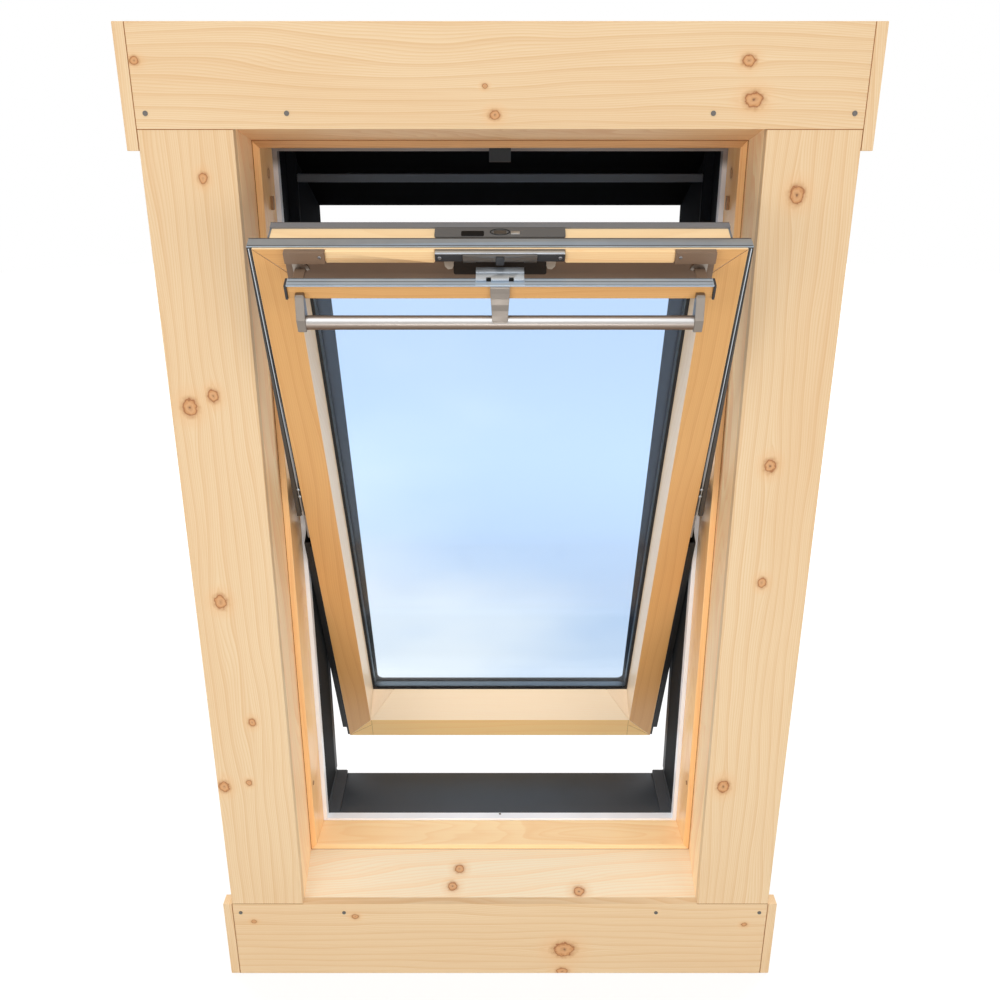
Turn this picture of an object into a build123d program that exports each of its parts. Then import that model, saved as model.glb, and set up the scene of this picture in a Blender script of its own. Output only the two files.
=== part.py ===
from build123d import *
import os
from math import cos, hypot, radians, sin

os.makedirs("parts", exist_ok=True)

# Window frame: outer size, timber width and the depth of its inner side
FRAME_WIDTH = 780
FRAME_HEIGHT = 1338
MEMBER = 45
FRAME_DEPTH = 66
FRAME_SPLAY = 4
OUTER_TIMBER_DEPTH = 104
OUTER_TIMBER = 32
# The fixing brackets seat at depth zero, this far outward of the frame's room face
SEAT_DEPTH = 40

# Pivot axis of the sash: height over the middle of the frame, outward from the seat
PIVOT_HEIGHT = 66
PIVOT_OUT = 19.4
REST_ANGLE = 24.9

# Clearances of the closed sash inside the frame
SIDE_GAP = 23.3
TOP_GAP = 32.8
BOTTOM_GAP = 8
SWING_CLEARANCE = 1.2

# Sash timber, with levels measured from the pivot axis
SASH_FACE = 64.6
SASH_DEPTH = 57
SASH_STEP = 25
SASH_INSET = 19.2
SASH_SIDE = 50
SASH_TOP = 42.5
SASH_BOTTOM = 60
BEVEL_DEPTH = 37.5
SIDE_BEVEL = 7.5
TOP_BEVEL = 15
BOTTOM_BEVEL = 61

# Glazing unit, its room side seal and its spacer
PANE = 4
SPACER_DEPTH = 10.5
SPACER_WIDTH = 20
SEAL = 1
SEAL_LIP = 4
GLASS_REBATE = 16
GLASS_PLAY = 1

# Outside covers of the sash
COVER_SHEET = 2.5
COVER_GAP = 0.5
COVER_LIP = 9
COVER_LIP_TOP = 26
COVER_SKIRT = 12
COVER_WIDE = 14.5
COVER_WIDE_DEPTH = 10
COVER_WIDE_START = 66
COVER_WIDE_END = 16
COVER_BEAD = 4.5
BEAD_DEPTH = 2
COVER_CORNER = 12

# Room side lining: boards around the opening and boards across the wall face
REVEAL_SIDE_GAP = 15
REVEAL_END_GAP = 14.7
REVEAL_DEPTH = 103
TOP_SPLAY = 18.4
SILL_SPLAY = 36.9
BOARD = 16.5
CASING_SIDE = 129.5
CASING_TOP = 132.4
CASING_BOTTOM = 166.4
CAP_DEPTH = 24.5
CAP_DROP = 28
SCREW_RADIUS = 3.4
SCREW_RISE = 1
SCREW_EDGE = 20
SCREW_SIDE = 14
SCREW_PITCH = 189.5

# Light metal strip on the outer end of the frame's inner side
STRIP_DEPTH = 17
STRIP_IN = 4
STRIP_SIDE_IN = 7
STRIP_PLAY = 1

# Outside covers of the frame
SHELL = 3
COVER_DEPTH = 206
COVER_OUT = 7
COVER_LAP = 14
LOWER_COVER_END = 148
BOTTOM_COVER_DEPTH = 200
BOTTOM_COVER_LEAN = 8
BLOCK_WIDTH = 22
BLOCK_RISE = 20
HOOD_DEPTH = 186
STEP_DEPTH = 127
STEP_IN = 23
STEP_HEIGHT = 8
HOOD_IN = 47
HOOD_REACH = 95
HOOD_BAR_HEIGHT = 13
HOOD_BAR_DEPTH = 10
HOOD_BAR_FALL = 41
UPPER_COVER_START = 152

# Pivot hinges: a pin and flange on the frame, a plate with a boss on the sash
PIN_RADIUS = 7
PIN_CLEARANCE = 0.05
FLANGE_RADIUS = 26
FLANGE_THICK = 5
HINGE_PACKING = 24
PLATE_THICK = 5
PLATE_LENGTH = 110
PLATE_LOW = 22
PLATE_TOP = 57
PLATE_CORNER = 10
BOSS_RADIUS = 18
HINGE_GAP = 0.5

# Steel fixing brackets
BRACKET_LEG = 70
BRACKET_UP = 36
BRACKET_WIDTH = 60
BRACKET_THICK = 3
BRACKET_HOLE = 4
BRACKET_HOLE_IN = 45
BRACKET_INSET = 189

# Edge rails of the upper half of the sash and the strip across its top
RAIL_START = 3
RAIL_DEPTH = 20
RAIL_WIDTH = 7
RAIL_SPREAD = 8
RAIL_LOW = 10
TOP_STRIP = 2

# Ventilation flap and its travel
FLAP_SIDE = 49.7
FLAP_HEIGHT = 20
FLAP_PLAY = 0.5
FLAP_THICK = 14
FLAP_TRIM = 2
FLAP_SEAT = 4
FLAP_LIFT = 35
FLAP_CAP = 3
FLAP_NOSE = 3
GUIDE_INSET = 10
GUIDE_WIDTH = 14
GUIDE_THICK = 4
GUIDE_LENGTH = 46
GUIDE_DEEP = 50
GUIDE_PLAY = 0.5

# Control bar with its arms
BAR_RADIUS = 9.3
BAR_DROP = 67.6
BAR_LIFT = 66
ARM_INSET = 22
ARM_DROP = 10
ARM_WIDTH = 12
ARM_THICK = 4
ARM_CAP = 8
ARM_TAIL = 12
CENTRE_ARM = 25
CENTRE_ARM_END = 20
CENTRE_ARM_REACH = 6
BUFFER_INSET = 82
BUFFER_LENGTH = 26
BUFFER_HEIGHT = 3
BUFFER_DEPTH = 8
SADDLE_WIDTH = 62
SADDLE_THICK = 3
SADDLE_NOTCH = 8
SADDLE_LAP = 8
SADDLE_START = 8

# Lock on the sash top and the slats beside it
LOCK_HALF = 86
LOCK_HEIGHT = 2.5
LOCK_START = 25
LOCK_DEPTH = 22.5
LOCK_CORNER = 4
LOCK_BODY_HALF = 84
LOCK_BODY_HEIGHT = 12
LOCK_BODY_THICK = 10
HOUSING_HALF = 48
HOUSING_RISE = 16
SLAT_HEIGHT = 17
SLAT_THICK = 6
SLAT_INSET = 45
GUIDE_COVER_LAP = 8
GUIDE_COVER_THICK = 9
CHANNEL_THICK = 2
CHANNEL_LOW = 12
BOLT_WIDTH = 16
BOLT_THICK = 8
BOLT_LENGTH = 42
BOLT_PLAY = 0.4

# Small pieces on the frame's inner sides and the keeper of the bolt
CATCH_DROP = 87
CATCH_OUT = 39
CATCH_SIZE = 20
CATCH_THICK = 4
PLUG_RISE = 130
PLUG_OUT = 11
PLUG_RADIUS = 4
KEEPER_DROP = 17
KEEPER_WALL = 6
KEEPER_PLAY = 2

half_w = FRAME_WIDTH / 2
half_h = FRAME_HEIGHT / 2
open_w = half_w - MEMBER
open_h = half_h - MEMBER
frame_end = SEAT_DEPTH - FRAME_DEPTH
outer_end = SEAT_DEPTH - OUTER_TIMBER_DEPTH
strip_end = frame_end - STRIP_DEPTH
cover_x = open_w - STRIP_SIDE_IN
cover_y = open_h - STRIP_IN
bracket_height = half_h - BRACKET_INSET
casing_face = SEAT_DEPTH + REVEAL_DEPTH
casing_back = casing_face - BOARD
reveal_half = open_w + REVEAL_SIDE_GAP
reveal_back = open_h + REVEAL_END_GAP
top_front = reveal_back + TOP_SPLAY
sill_front = reveal_back + SILL_SPLAY
casing_half = reveal_half + CASING_SIDE
screw_outer = casing_half - SCREW_SIDE
screw_inner = screw_outer - SCREW_PITCH
cover_top = SEAT_DEPTH - COVER_DEPTH
hood_top = SEAT_DEPTH - HOOD_DEPTH
step_level = SEAT_DEPTH - STEP_DEPTH

sash_half = open_w - SIDE_GAP
sash_up = open_h - PIVOT_HEIGHT - TOP_GAP
sash_down = open_h + PIVOT_HEIGHT - BOTTOM_GAP
sash_inner = sash_half - SASH_SIDE
glass_half = sash_inner - SIDE_BEVEL
sash_back = SASH_FACE - SASH_DEPTH
step_face = SASH_FACE - SASH_STEP
seat_face = SASH_FACE - BEVEL_DEPTH
pane_face = seat_face - SEAL
spacer_face = pane_face - PANE
outer_pane_face = spacer_face - SPACER_DEPTH
unit_back = outer_pane_face - PANE
cover_face = sash_back - COVER_GAP
cover_back = cover_face - COVER_SHEET
case_high = sash_up + LOCK_HEIGHT
slat_low = sash_up - SLAT_HEIGHT
flap_half = sash_half - FLAP_SIDE
flap_back = SASH_FACE + FLAP_SEAT + FLAP_LIFT
flap_face = flap_back + FLAP_THICK
trim_top = slat_low - FLAP_PLAY
flap_top = trim_top - FLAP_TRIM
channel_top = trim_top - FLAP_PLAY
saddle_top = trim_top + SADDLE_THICK
saddle_slot = SADDLE_WIDTH / 2 + FLAP_PLAY
flap_low = flap_top - FLAP_HEIGHT
guide_up = flap_top - FLAP_HEIGHT / 2
guide_x = flap_half - GUIDE_INSET
buffer_x = flap_half - BUFFER_INSET
slat_outer = flap_half - SLAT_INSET
cover_outer = flap_half + GUIDE_COVER_LAP
bar_up = sash_up - BAR_DROP
bar_level = SASH_FACE + BAR_LIFT
arm_x = flap_half - ARM_INSET
pivot_level = -PIVOT_OUT
pivot_spot = (PIVOT_HEIGHT, pivot_level)
swing_radius = hypot(sash_down, SASH_FACE) + SWING_CLEARANCE
lock_back = SASH_FACE - LOCK_START - LOCK_DEPTH
bolt_level = lock_back + LOCK_DEPTH / 2

room_plane = Plane.XZ
tilt = radians(REST_ANGLE)
sash_plane = Plane(
    origin=(0, PIVOT_OUT, PIVOT_HEIGHT),
    x_dir=(1, 0, 0),
    z_dir=(0, -cos(tilt), -sin(tilt)),
)

SIDES = {"left": -1, "right": 1}


# Half sizes of a rectangle around the middle height of the sash: x, lower and upper edge
def sash_rect(side, down, up):
    return (side, -down, up)


sash_outline = sash_rect(sash_half, sash_down, sash_up)
sash_step_outline = sash_rect(sash_half - SASH_INSET, sash_down, sash_up)
sash_room_edge = sash_rect(sash_inner, sash_down - SASH_BOTTOM, sash_up - SASH_TOP)
glass_edge = sash_rect(
    glass_half, sash_down - SASH_BOTTOM - BOTTOM_BEVEL, sash_up - SASH_TOP - TOP_BEVEL
)


# A rectangle grown on every side
def grown(rect, amount):
    return (rect[0] + amount, rect[1] - amount, rect[2] + amount)


# A face for a rectangle given as half width, low edge and high edge
def rect_face(base, height, rect, corner=0):
    with BuildSketch(base.offset(height)) as shape:
        with Locations((0, (rect[1] + rect[2]) / 2)):
            Rectangle(2 * rect[0], rect[2] - rect[1])
        if corner:
            fillet(shape.vertices(), radius=corner)
    return shape.sketch


# A straight box between two corners given as x, height and level
def block(base, low, high, mode=Mode.ADD):
    size = [abs(b - a) for a, b in zip(low, high)]
    middle = [(a + b) / 2 for a, b in zip(low, high)]
    with BuildSketch(base.offset(min(low[2], high[2]))) as shape:
        with Locations((middle[0], middle[1])):
            Rectangle(size[0], size[1])
    extrude(shape.sketch, amount=size[2], mode=mode)


# A slab of a rectangle between two levels
def slab(base, rect, low, high, corner=0, mode=Mode.ADD):
    extrude(rect_face(base, low, rect, corner), amount=high - low, mode=mode)


# A tapering hole between two rectangles
def funnel(base, low, low_rect, high, high_rect):
    loft([rect_face(base, low, low_rect), rect_face(base, high, high_rect)], mode=Mode.SUBTRACT)


# A disc whose axis runs across the window
def disc(base, x, point, radius, length, mode=Mode.ADD):
    with BuildSketch(across(base, x)) as shape:
        with Locations(point):
            Circle(radius)
    extrude(shape.sketch, amount=length, mode=mode)


# The plane at one x, with height along its first direction and level along its second
def across(base, x):
    return Plane(origin=base.from_local_coords((x, 0, 0)), x_dir=base.y_dir, z_dir=base.x_dir)


# The plane at one height, with x along its first direction and level along its second
def along(base, height):
    start = base.from_local_coords((0, height, 0))
    return Plane(origin=start, x_dir=base.x_dir, z_dir=-base.y_dir)


# The plane through a corner and a second point, facing the piece that is kept
def mitre(base, corner, inner, toward):
    start = base.from_local_coords((corner[0], corner[1], 0))
    run = base.from_local_coords((inner[0], inner[1], 0)) - start
    normal = run.cross(base.z_dir)
    if normal.dot(base.from_local_coords((toward[0], toward[1], 0)) - start) < 0:
        normal = -normal
    return Plane(origin=start, x_dir=run, z_dir=normal)


# Cuts the ring in the builder down to one of its four mitred members
def keep_member(base, outer, inner, name):
    high = name in ("top", "left", "right")
    low = name in ("bottom", "left", "right")
    middle = (outer[1] + outer[2]) / 2
    spots = {
        "left": (-outer[0], middle),
        "right": (outer[0], middle),
        "top": (0, outer[2]),
        "bottom": (0, outer[1]),
    }
    for side in (-1, 1):
        if name in ("left", "right") and SIDES[name] != side:
            continue
        for used, row in ((high, 2), (low, 1)):
            if used:
                cut = mitre(
                    base, (side * outer[0], outer[row]), (side * inner[0], inner[row]), spots[name]
                )
                split(bisect_by=cut, keep=Keep.TOP)
    centre = base.from_local_coords((0, middle, 0))
    spot = base.from_local_coords((spots[name][0], spots[name][1], 0))
    split(bisect_by=Plane(origin=centre, z_dir=spot - centre), keep=Keep.TOP)


def save(piece, label):
    piece.part.label = label
    export_step(piece.part, f"parts/{label}.step")


frame_outline = (half_w, -half_h, half_h)
frame_opening = (open_w, -open_h, open_h)
rebate = (half_w - OUTER_TIMBER, OUTER_TIMBER - half_h, half_h - OUTER_TIMBER)

# Frame timbers
for name in ("left", "right", "top", "bottom"):
    with BuildPart() as frame_member:
        slab(room_plane, frame_outline, outer_end, SEAT_DEPTH)
        funnel(room_plane, frame_end, frame_opening, SEAT_DEPTH, grown(frame_opening, FRAME_SPLAY))
        slab(room_plane, rebate, outer_end, frame_end, mode=Mode.SUBTRACT)
        keep_member(room_plane, frame_outline, frame_opening, name)
    save(frame_member, f"frame_{name}")

# Light strip running around the rebate of the frame
with BuildPart() as edge_strip:
    slab(room_plane, grown(rebate, -STRIP_PLAY), strip_end, frame_end)
    slab(room_plane, (cover_x, -cover_y, cover_y), strip_end, frame_end, mode=Mode.SUBTRACT)
save(edge_strip, "edge_strip")

# Lining: side reveals, top and sill between the frame and the boards on the wall
for name, side in SIDES.items():
    x_range = sorted((side * reveal_half, side * (reveal_half + BOARD)))
    with BuildPart() as reveal:
        with BuildSketch(across(room_plane, x_range[0])) as profile:
            with BuildLine() as outline:
                Polyline(
                    (-reveal_back, SEAT_DEPTH),
                    (reveal_back, SEAT_DEPTH),
                    (top_front, casing_back),
                    (-sill_front, casing_back),
                    close=True,
                )
            make_face()
        extrude(amount=BOARD)
    save(reveal, f"reveal_{name}")

reveal_outer = reveal_half + BOARD
with BuildPart() as reveal_top:
    with BuildSketch(across(room_plane, -reveal_outer)) as profile:
        with BuildLine() as outline:
            Polyline(
                (reveal_back, SEAT_DEPTH),
                (reveal_back + BOARD, SEAT_DEPTH),
                (top_front + BOARD, casing_back),
                (top_front, casing_back),
                close=True,
            )
        make_face()
    extrude(amount=2 * reveal_outer)
save(reveal_top, "reveal_top")

with BuildPart() as sill:
    with BuildSketch(across(room_plane, -reveal_outer)) as profile:
        with BuildLine() as outline:
            Polyline(
                (-reveal_back, SEAT_DEPTH),
                (-reveal_back - BOARD, SEAT_DEPTH),
                (-sill_front - BOARD, casing_back),
                (-sill_front, casing_back),
                close=True,
            )
        make_face()
    extrude(amount=2 * reveal_outer)
save(sill, "sill")

# Boards on the wall face with their end caps
casing_top_edge = top_front + CASING_TOP
casing_bottom_edge = -sill_front - CASING_BOTTOM
with BuildPart() as casing_top:
    block(
        room_plane,
        (-casing_half, top_front, casing_back),
        (casing_half, casing_top_edge, casing_face),
    )
save(casing_top, "casing_top")

with BuildPart() as casing_bottom:
    block(
        room_plane,
        (-casing_half, casing_bottom_edge, casing_back),
        (casing_half, -sill_front, casing_face),
    )
save(casing_bottom, "casing_bottom")

for name, side in SIDES.items():
    with BuildPart() as casing_side:
        block(
            room_plane,
            (side * reveal_half, -sill_front, casing_back),
            (side * casing_half, top_front, casing_face),
        )
    save(casing_side, f"casing_{name}")

with BuildPart() as caps_top:
    for side in SIDES.values():
        block(
            room_plane,
            (side * casing_half, top_front - CAP_DROP, casing_face - CAP_DEPTH),
            (side * (casing_half + BOARD), casing_top_edge, casing_face),
        )
save(caps_top, "caps_top")

with BuildPart() as caps_bottom:
    for side in SIDES.values():
        block(
            room_plane,
            (side * casing_half, casing_bottom_edge, casing_face - CAP_DEPTH),
            (side * (casing_half + BOARD), -sill_front, casing_face),
        )
save(caps_bottom, "caps_bottom")

# Screw heads of the boards
with BuildPart() as casing_screws:
    with BuildSketch(room_plane.offset(casing_face)) as heads:
        for side in SIDES.values():
            with Locations(
                (side * screw_outer, top_front + SCREW_EDGE),
                (side * screw_inner, top_front + SCREW_EDGE),
                (side * screw_outer, -sill_front - SCREW_EDGE),
                (side * screw_inner, -sill_front - SCREW_EDGE),
            ):
                Circle(SCREW_RADIUS)
    extrude(amount=SCREW_RISE)
save(casing_screws, "casing_screws")

# Outside covers beside the lower half of the frame
outer_x = half_w + COVER_OUT
lap_level = outer_end + COVER_LAP
for name, side in SIDES.items():
    points = [
        (side * cover_x, strip_end),
        (side * cover_x, cover_top),
        (side * outer_x, cover_top),
        (side * outer_x, lap_level),
    ]
    with BuildPart() as lower_cover:
        bottom_edge = BLOCK_RISE - cover_y
        section = along(room_plane, LOWER_COVER_END)
        with BuildSketch(section) as profile:
            with BuildLine() as outline:
                Polyline(*points)
                Polyline(
                    points[3],
                    (side * (outer_x - SHELL), lap_level),
                    (side * (outer_x - SHELL), cover_top + SHELL),
                    (side * (cover_x + SHELL), cover_top + SHELL),
                    (side * (cover_x + SHELL), strip_end),
                    points[0],
                )
            make_face()
        extrude(amount=LOWER_COVER_END - bottom_edge)
        block(
            room_plane,
            (side * cover_x, LOWER_COVER_END - SHELL, cover_top),
            (side * outer_x, LOWER_COVER_END, outer_end),
        )
    save(lower_cover, f"cover_lower_{name}")

# Hood across the top: a bent sheet with a closed space above its underside
step_x = open_w - STEP_IN
hood_x = open_w - HOOD_IN
outer_y = half_h + COVER_OUT
hood_edge = open_h - HOOD_REACH
with BuildSketch(across(room_plane, -outer_x)) as hood_shape:
    with BuildLine() as outline:
        Polyline(
            (cover_y, strip_end),
            (cover_y, step_level),
            (hood_edge, hood_top + SHELL),
            (hood_edge, hood_top),
            (outer_y, hood_top),
            (outer_y, strip_end),
            close=True,
        )
    make_face()

with BuildPart() as hood:
    extrude(hood_shape.sketch, amount=2 * outer_x)
    with BuildSketch(across(room_plane, -outer_x + SHELL)) as space:
        with BuildLine() as outline:
            Polyline(
                (cover_y + SHELL, strip_end),
                (cover_y + SHELL, step_level - SHELL),
                (hood_edge + 3 * SHELL, hood_top + SHELL),
                (outer_y - SHELL, hood_top + SHELL),
                (outer_y - SHELL, strip_end),
                close=True,
            )
        make_face()
    extrude(space.sketch, amount=2 * (outer_x - SHELL), mode=Mode.SUBTRACT)
    block(room_plane, (-outer_x, half_h, lap_level), (outer_x, outer_y, strip_end), Mode.SUBTRACT)
    for side in SIDES.values():
        block(
            room_plane,
            (side * (cover_x + SHELL), cover_y, outer_end),
            (side * outer_x, outer_y, strip_end),
            mode=Mode.SUBTRACT,
        )
save(hood, "hood")

# Outside covers beside the upper half, stepping in over the sash
for name, side in SIDES.items():
    with BuildPart() as upper_cover:
        with BuildSketch(along(room_plane, cover_y)) as profile:
            with BuildLine() as outline:
                Polyline(
                    (side * cover_x, strip_end),
                    (side * cover_x, step_level),
                    (side * step_x, step_level - SHELL),
                    (side * step_x, step_level - SHELL - STEP_HEIGHT),
                    (side * hood_x, hood_top + SHELL),
                    (side * hood_x, hood_top),
                    (side * outer_x, hood_top),
                    (side * outer_x, lap_level),
                    (side * (outer_x - SHELL), lap_level),
                    (side * (outer_x - SHELL), hood_top + SHELL),
                    (side * (hood_x + 2 * SHELL), hood_top + SHELL),
                    (side * (step_x + SHELL), step_level - SHELL - STEP_HEIGHT),
                    (side * (step_x + SHELL), step_level - 2 * SHELL),
                    (side * (cover_x + SHELL), step_level - SHELL),
                    (side * (cover_x + SHELL), strip_end),
                    close=True,
                )
            make_face()
        extrude(amount=cover_y - UPPER_COVER_START)
        extrude(hood_shape.sketch, amount=2 * outer_x, mode=Mode.SUBTRACT)
        block(
            room_plane,
            (side * (cover_x + SHELL), UPPER_COVER_START, hood_top),
            (side * outer_x, UPPER_COVER_START + SHELL, outer_end),
        )
    save(upper_cover, f"cover_upper_{name}")

# Bar under the hood
with BuildPart() as hood_bar:
    block(
        room_plane,
        (-step_x, open_h - HOOD_BAR_FALL - HOOD_BAR_HEIGHT, step_level - HOOD_BAR_DEPTH),
        (step_x, open_h - HOOD_BAR_FALL, step_level),
    )
save(hood_bar, "hood_bar")

# Cover below the sash with a block at each corner
bottom_top = SEAT_DEPTH - BOTTOM_COVER_DEPTH
foot_y = -cover_y
block_x = cover_x - BLOCK_WIDTH
with BuildPart() as cover_bottom:
    with BuildSketch(across(room_plane, -block_x)) as profile:
        with BuildLine() as outline:
            Polyline(
                (foot_y, strip_end),
                (foot_y + BOTTOM_COVER_LEAN, bottom_top),
                (-outer_y, bottom_top),
                (-outer_y, lap_level),
                (-outer_y + SHELL, lap_level),
                (-outer_y + SHELL, bottom_top + SHELL),
                (foot_y + BOTTOM_COVER_LEAN - SHELL, bottom_top + SHELL),
                (foot_y - SHELL, strip_end),
                close=True,
            )
        make_face()
    extrude(amount=2 * block_x)
save(cover_bottom, "cover_bottom")

for name, side in SIDES.items():
    with BuildPart() as corner_block:
        block(
            room_plane,
            (side * block_x, -outer_y, bottom_top - SHELL),
            (side * outer_x, foot_y + BLOCK_RISE, strip_end),
        )
        block(
            room_plane,
            (side * block_x, -outer_y, outer_end),
            (side * outer_x, OUTER_TIMBER - half_h, strip_end),
            mode=Mode.SUBTRACT,
        )
        block(
            room_plane,
            (side * (cover_x + SHELL), -outer_y, outer_end),
            (side * outer_x, foot_y + BLOCK_RISE, strip_end),
            mode=Mode.SUBTRACT,
        )
        disc(
            room_plane,
            side * block_x,
            pivot_spot,
            swing_radius,
            side * BLOCK_WIDTH,
            mode=Mode.SUBTRACT,
        )
    save(corner_block, f"corner_{name}")

# Fixing brackets at the frame's sides
with BuildPart() as fixing_brackets:
    for side in SIDES.values():
        for level in (-1, 1):
            middle = level * bracket_height
            low = middle - BRACKET_WIDTH / 2
            high = middle + BRACKET_WIDTH / 2
            block(
                room_plane,
                (side * half_w, low, -BRACKET_THICK),
                (side * (half_w + BRACKET_LEG), high, 0),
            )
            block(
                room_plane,
                (side * half_w, low, -BRACKET_THICK),
                (side * (half_w + BRACKET_THICK), high, BRACKET_UP),
            )
            with BuildSketch(room_plane) as holes:
                with Locations((side * (half_w + BRACKET_HOLE_IN), middle)):
                    Circle(BRACKET_HOLE)
            extrude(holes.sketch, amount=-BRACKET_THICK, mode=Mode.SUBTRACT)
save(fixing_brackets, "fixing_brackets")

# Pivot flanges with their pins on the frame
flange_x = cover_x - FLANGE_THICK
boss_x = flange_x - HINGE_GAP
boss_length = boss_x - sash_half - PLATE_THICK
for name, side in SIDES.items():
    with BuildPart() as pivot:
        disc(room_plane, side * flange_x, pivot_spot, FLANGE_RADIUS, side * FLANGE_THICK)
        disc(room_plane, side * sash_half, pivot_spot, PIN_RADIUS, side * (flange_x - sash_half))
        block(
            room_plane,
            (side * (flange_x + FLANGE_THICK), PIVOT_HEIGHT - HINGE_PACKING, frame_end),
            (side * open_w, PIVOT_HEIGHT + HINGE_PACKING, frame_end + HINGE_PACKING),
        )
    save(pivot, f"pivot_{name}")

# Sash plates with a boss around the pin
for name, side in SIDES.items():
    with BuildPart() as sash_hinge:
        with BuildSketch(across(sash_plane, side * sash_half)) as profile:
            with Locations((0, (PLATE_TOP - PLATE_LOW) / 2)):
                Rectangle(PLATE_LENGTH, PLATE_TOP + PLATE_LOW)
            fillet(profile.vertices(), radius=PLATE_CORNER)
        extrude(amount=side * PLATE_THICK)
        disc(sash_plane, side * (sash_half + PLATE_THICK), (0, 0), BOSS_RADIUS, side * boss_length)
        disc(
            sash_plane,
            side * sash_half,
            (0, 0),
            PIN_RADIUS + PIN_CLEARANCE,
            side * (PLATE_THICK + boss_length),
            mode=Mode.SUBTRACT,
        )
    save(sash_hinge, f"hinge_{name}")

# Catches and plugs on the inner sides of the frame, and the keeper of the bolt
catch_level = SEAT_DEPTH - CATCH_OUT
catch_height = open_h - CATCH_DROP
catch_base = open_w + FRAME_SPLAY * (1 - (CATCH_OUT + CATCH_THICK) / FRAME_DEPTH)
plug_base = open_w + FRAME_SPLAY * (1 - (PLUG_OUT + PLUG_RADIUS) / FRAME_DEPTH)
keeper_level = pivot_level + bolt_level
slot_x = BOLT_WIDTH / 2 + KEEPER_PLAY
slot_level = BOLT_THICK / 2 + KEEPER_PLAY
with BuildPart() as catches:
    block(
        room_plane,
        (-slot_x - KEEPER_WALL, open_h - KEEPER_DROP, keeper_level - slot_level - KEEPER_WALL),
        (slot_x + KEEPER_WALL, open_h + FRAME_SPLAY, keeper_level + slot_level + KEEPER_WALL),
    )
    loft(
        [
            rect_face(room_plane, frame_end, frame_opening),
            rect_face(room_plane, SEAT_DEPTH, grown(frame_opening, FRAME_SPLAY)),
        ],
        mode=Mode.INTERSECT,
    )
    block(
        room_plane,
        (-slot_x, open_h - KEEPER_DROP, keeper_level - slot_level),
        (slot_x, open_h + FRAME_SPLAY, keeper_level + slot_level),
        mode=Mode.SUBTRACT,
    )
    for side in SIDES.values():
        block(
            room_plane,
            (side * (catch_base - CATCH_THICK), catch_height, catch_level - CATCH_THICK),
            (side * catch_base, catch_height + CATCH_SIZE, catch_level + CATCH_THICK),
        )
        disc(
            room_plane,
            side * plug_base,
            (PLUG_RISE - open_h, SEAT_DEPTH - PLUG_OUT),
            PLUG_RADIUS,
            -side * SCREW_RISE,
        )
save(catches, "frame_catches")

# Sash timbers
for name in ("left", "right", "top", "bottom"):
    with BuildPart() as sash_member:
        slab(sash_plane, sash_outline, step_face, SASH_FACE)
        slab(sash_plane, sash_step_outline, sash_back, step_face)
        funnel(sash_plane, seat_face, glass_edge, SASH_FACE, sash_room_edge)
        slab(sash_plane, grown(glass_edge, GLASS_REBATE), sash_back, seat_face, mode=Mode.SUBTRACT)
        keep_member(sash_plane, sash_outline, sash_room_edge, name)
        if name == "top":
            for side in SIDES.values():
                block(
                    sash_plane,
                    (
                        side * guide_x - GUIDE_WIDTH / 2 - GUIDE_PLAY,
                        guide_up - GUIDE_THICK / 2 - GUIDE_PLAY,
                        SASH_FACE - GUIDE_DEEP,
                    ),
                    (
                        side * guide_x + GUIDE_WIDTH / 2 + GUIDE_PLAY,
                        guide_up + GUIDE_THICK / 2 + GUIDE_PLAY,
                        SASH_FACE,
                    ),
                    mode=Mode.SUBTRACT,
                )
            block(
                sash_plane,
                (
                    -BOLT_WIDTH / 2 - BOLT_PLAY,
                    case_high - BOLT_LENGTH - BOLT_PLAY,
                    bolt_level - BOLT_THICK / 2 - BOLT_PLAY,
                ),
                (BOLT_WIDTH / 2 + BOLT_PLAY, sash_up, bolt_level + BOLT_THICK / 2 + BOLT_PLAY),
                mode=Mode.SUBTRACT,
            )
            block(
                sash_plane,
                (-saddle_slot, channel_top, SASH_FACE + SADDLE_START - FLAP_LIFT - FLAP_PLAY),
                (saddle_slot, saddle_top + FLAP_PLAY, SASH_FACE),
                mode=Mode.SUBTRACT,
            )
    save(sash_member, f"sash_{name}")

# Glazing: seal, two panes and the spacer between them
unit = grown(glass_edge, GLASS_REBATE - GLASS_PLAY)
with BuildPart() as glass_seal:
    slab(sash_plane, unit, pane_face, seat_face)
    slab(sash_plane, grown(glass_edge, -SEAL_LIP), pane_face, seat_face, COVER_CORNER, Mode.SUBTRACT)
save(glass_seal, "glass_seal")

with BuildPart() as glass_inner:
    slab(sash_plane, unit, spacer_face, pane_face)
save(glass_inner, "glass_inner")

with BuildPart() as glass_spacer:
    slab(sash_plane, unit, outer_pane_face, spacer_face)
    slab(sash_plane, grown(unit, -SPACER_WIDTH), outer_pane_face, spacer_face, mode=Mode.SUBTRACT)
save(glass_spacer, "glass_spacer")

with BuildPart() as glass_outer:
    slab(sash_plane, unit, unit_back, outer_pane_face)
save(glass_outer, "glass_outer")

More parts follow.
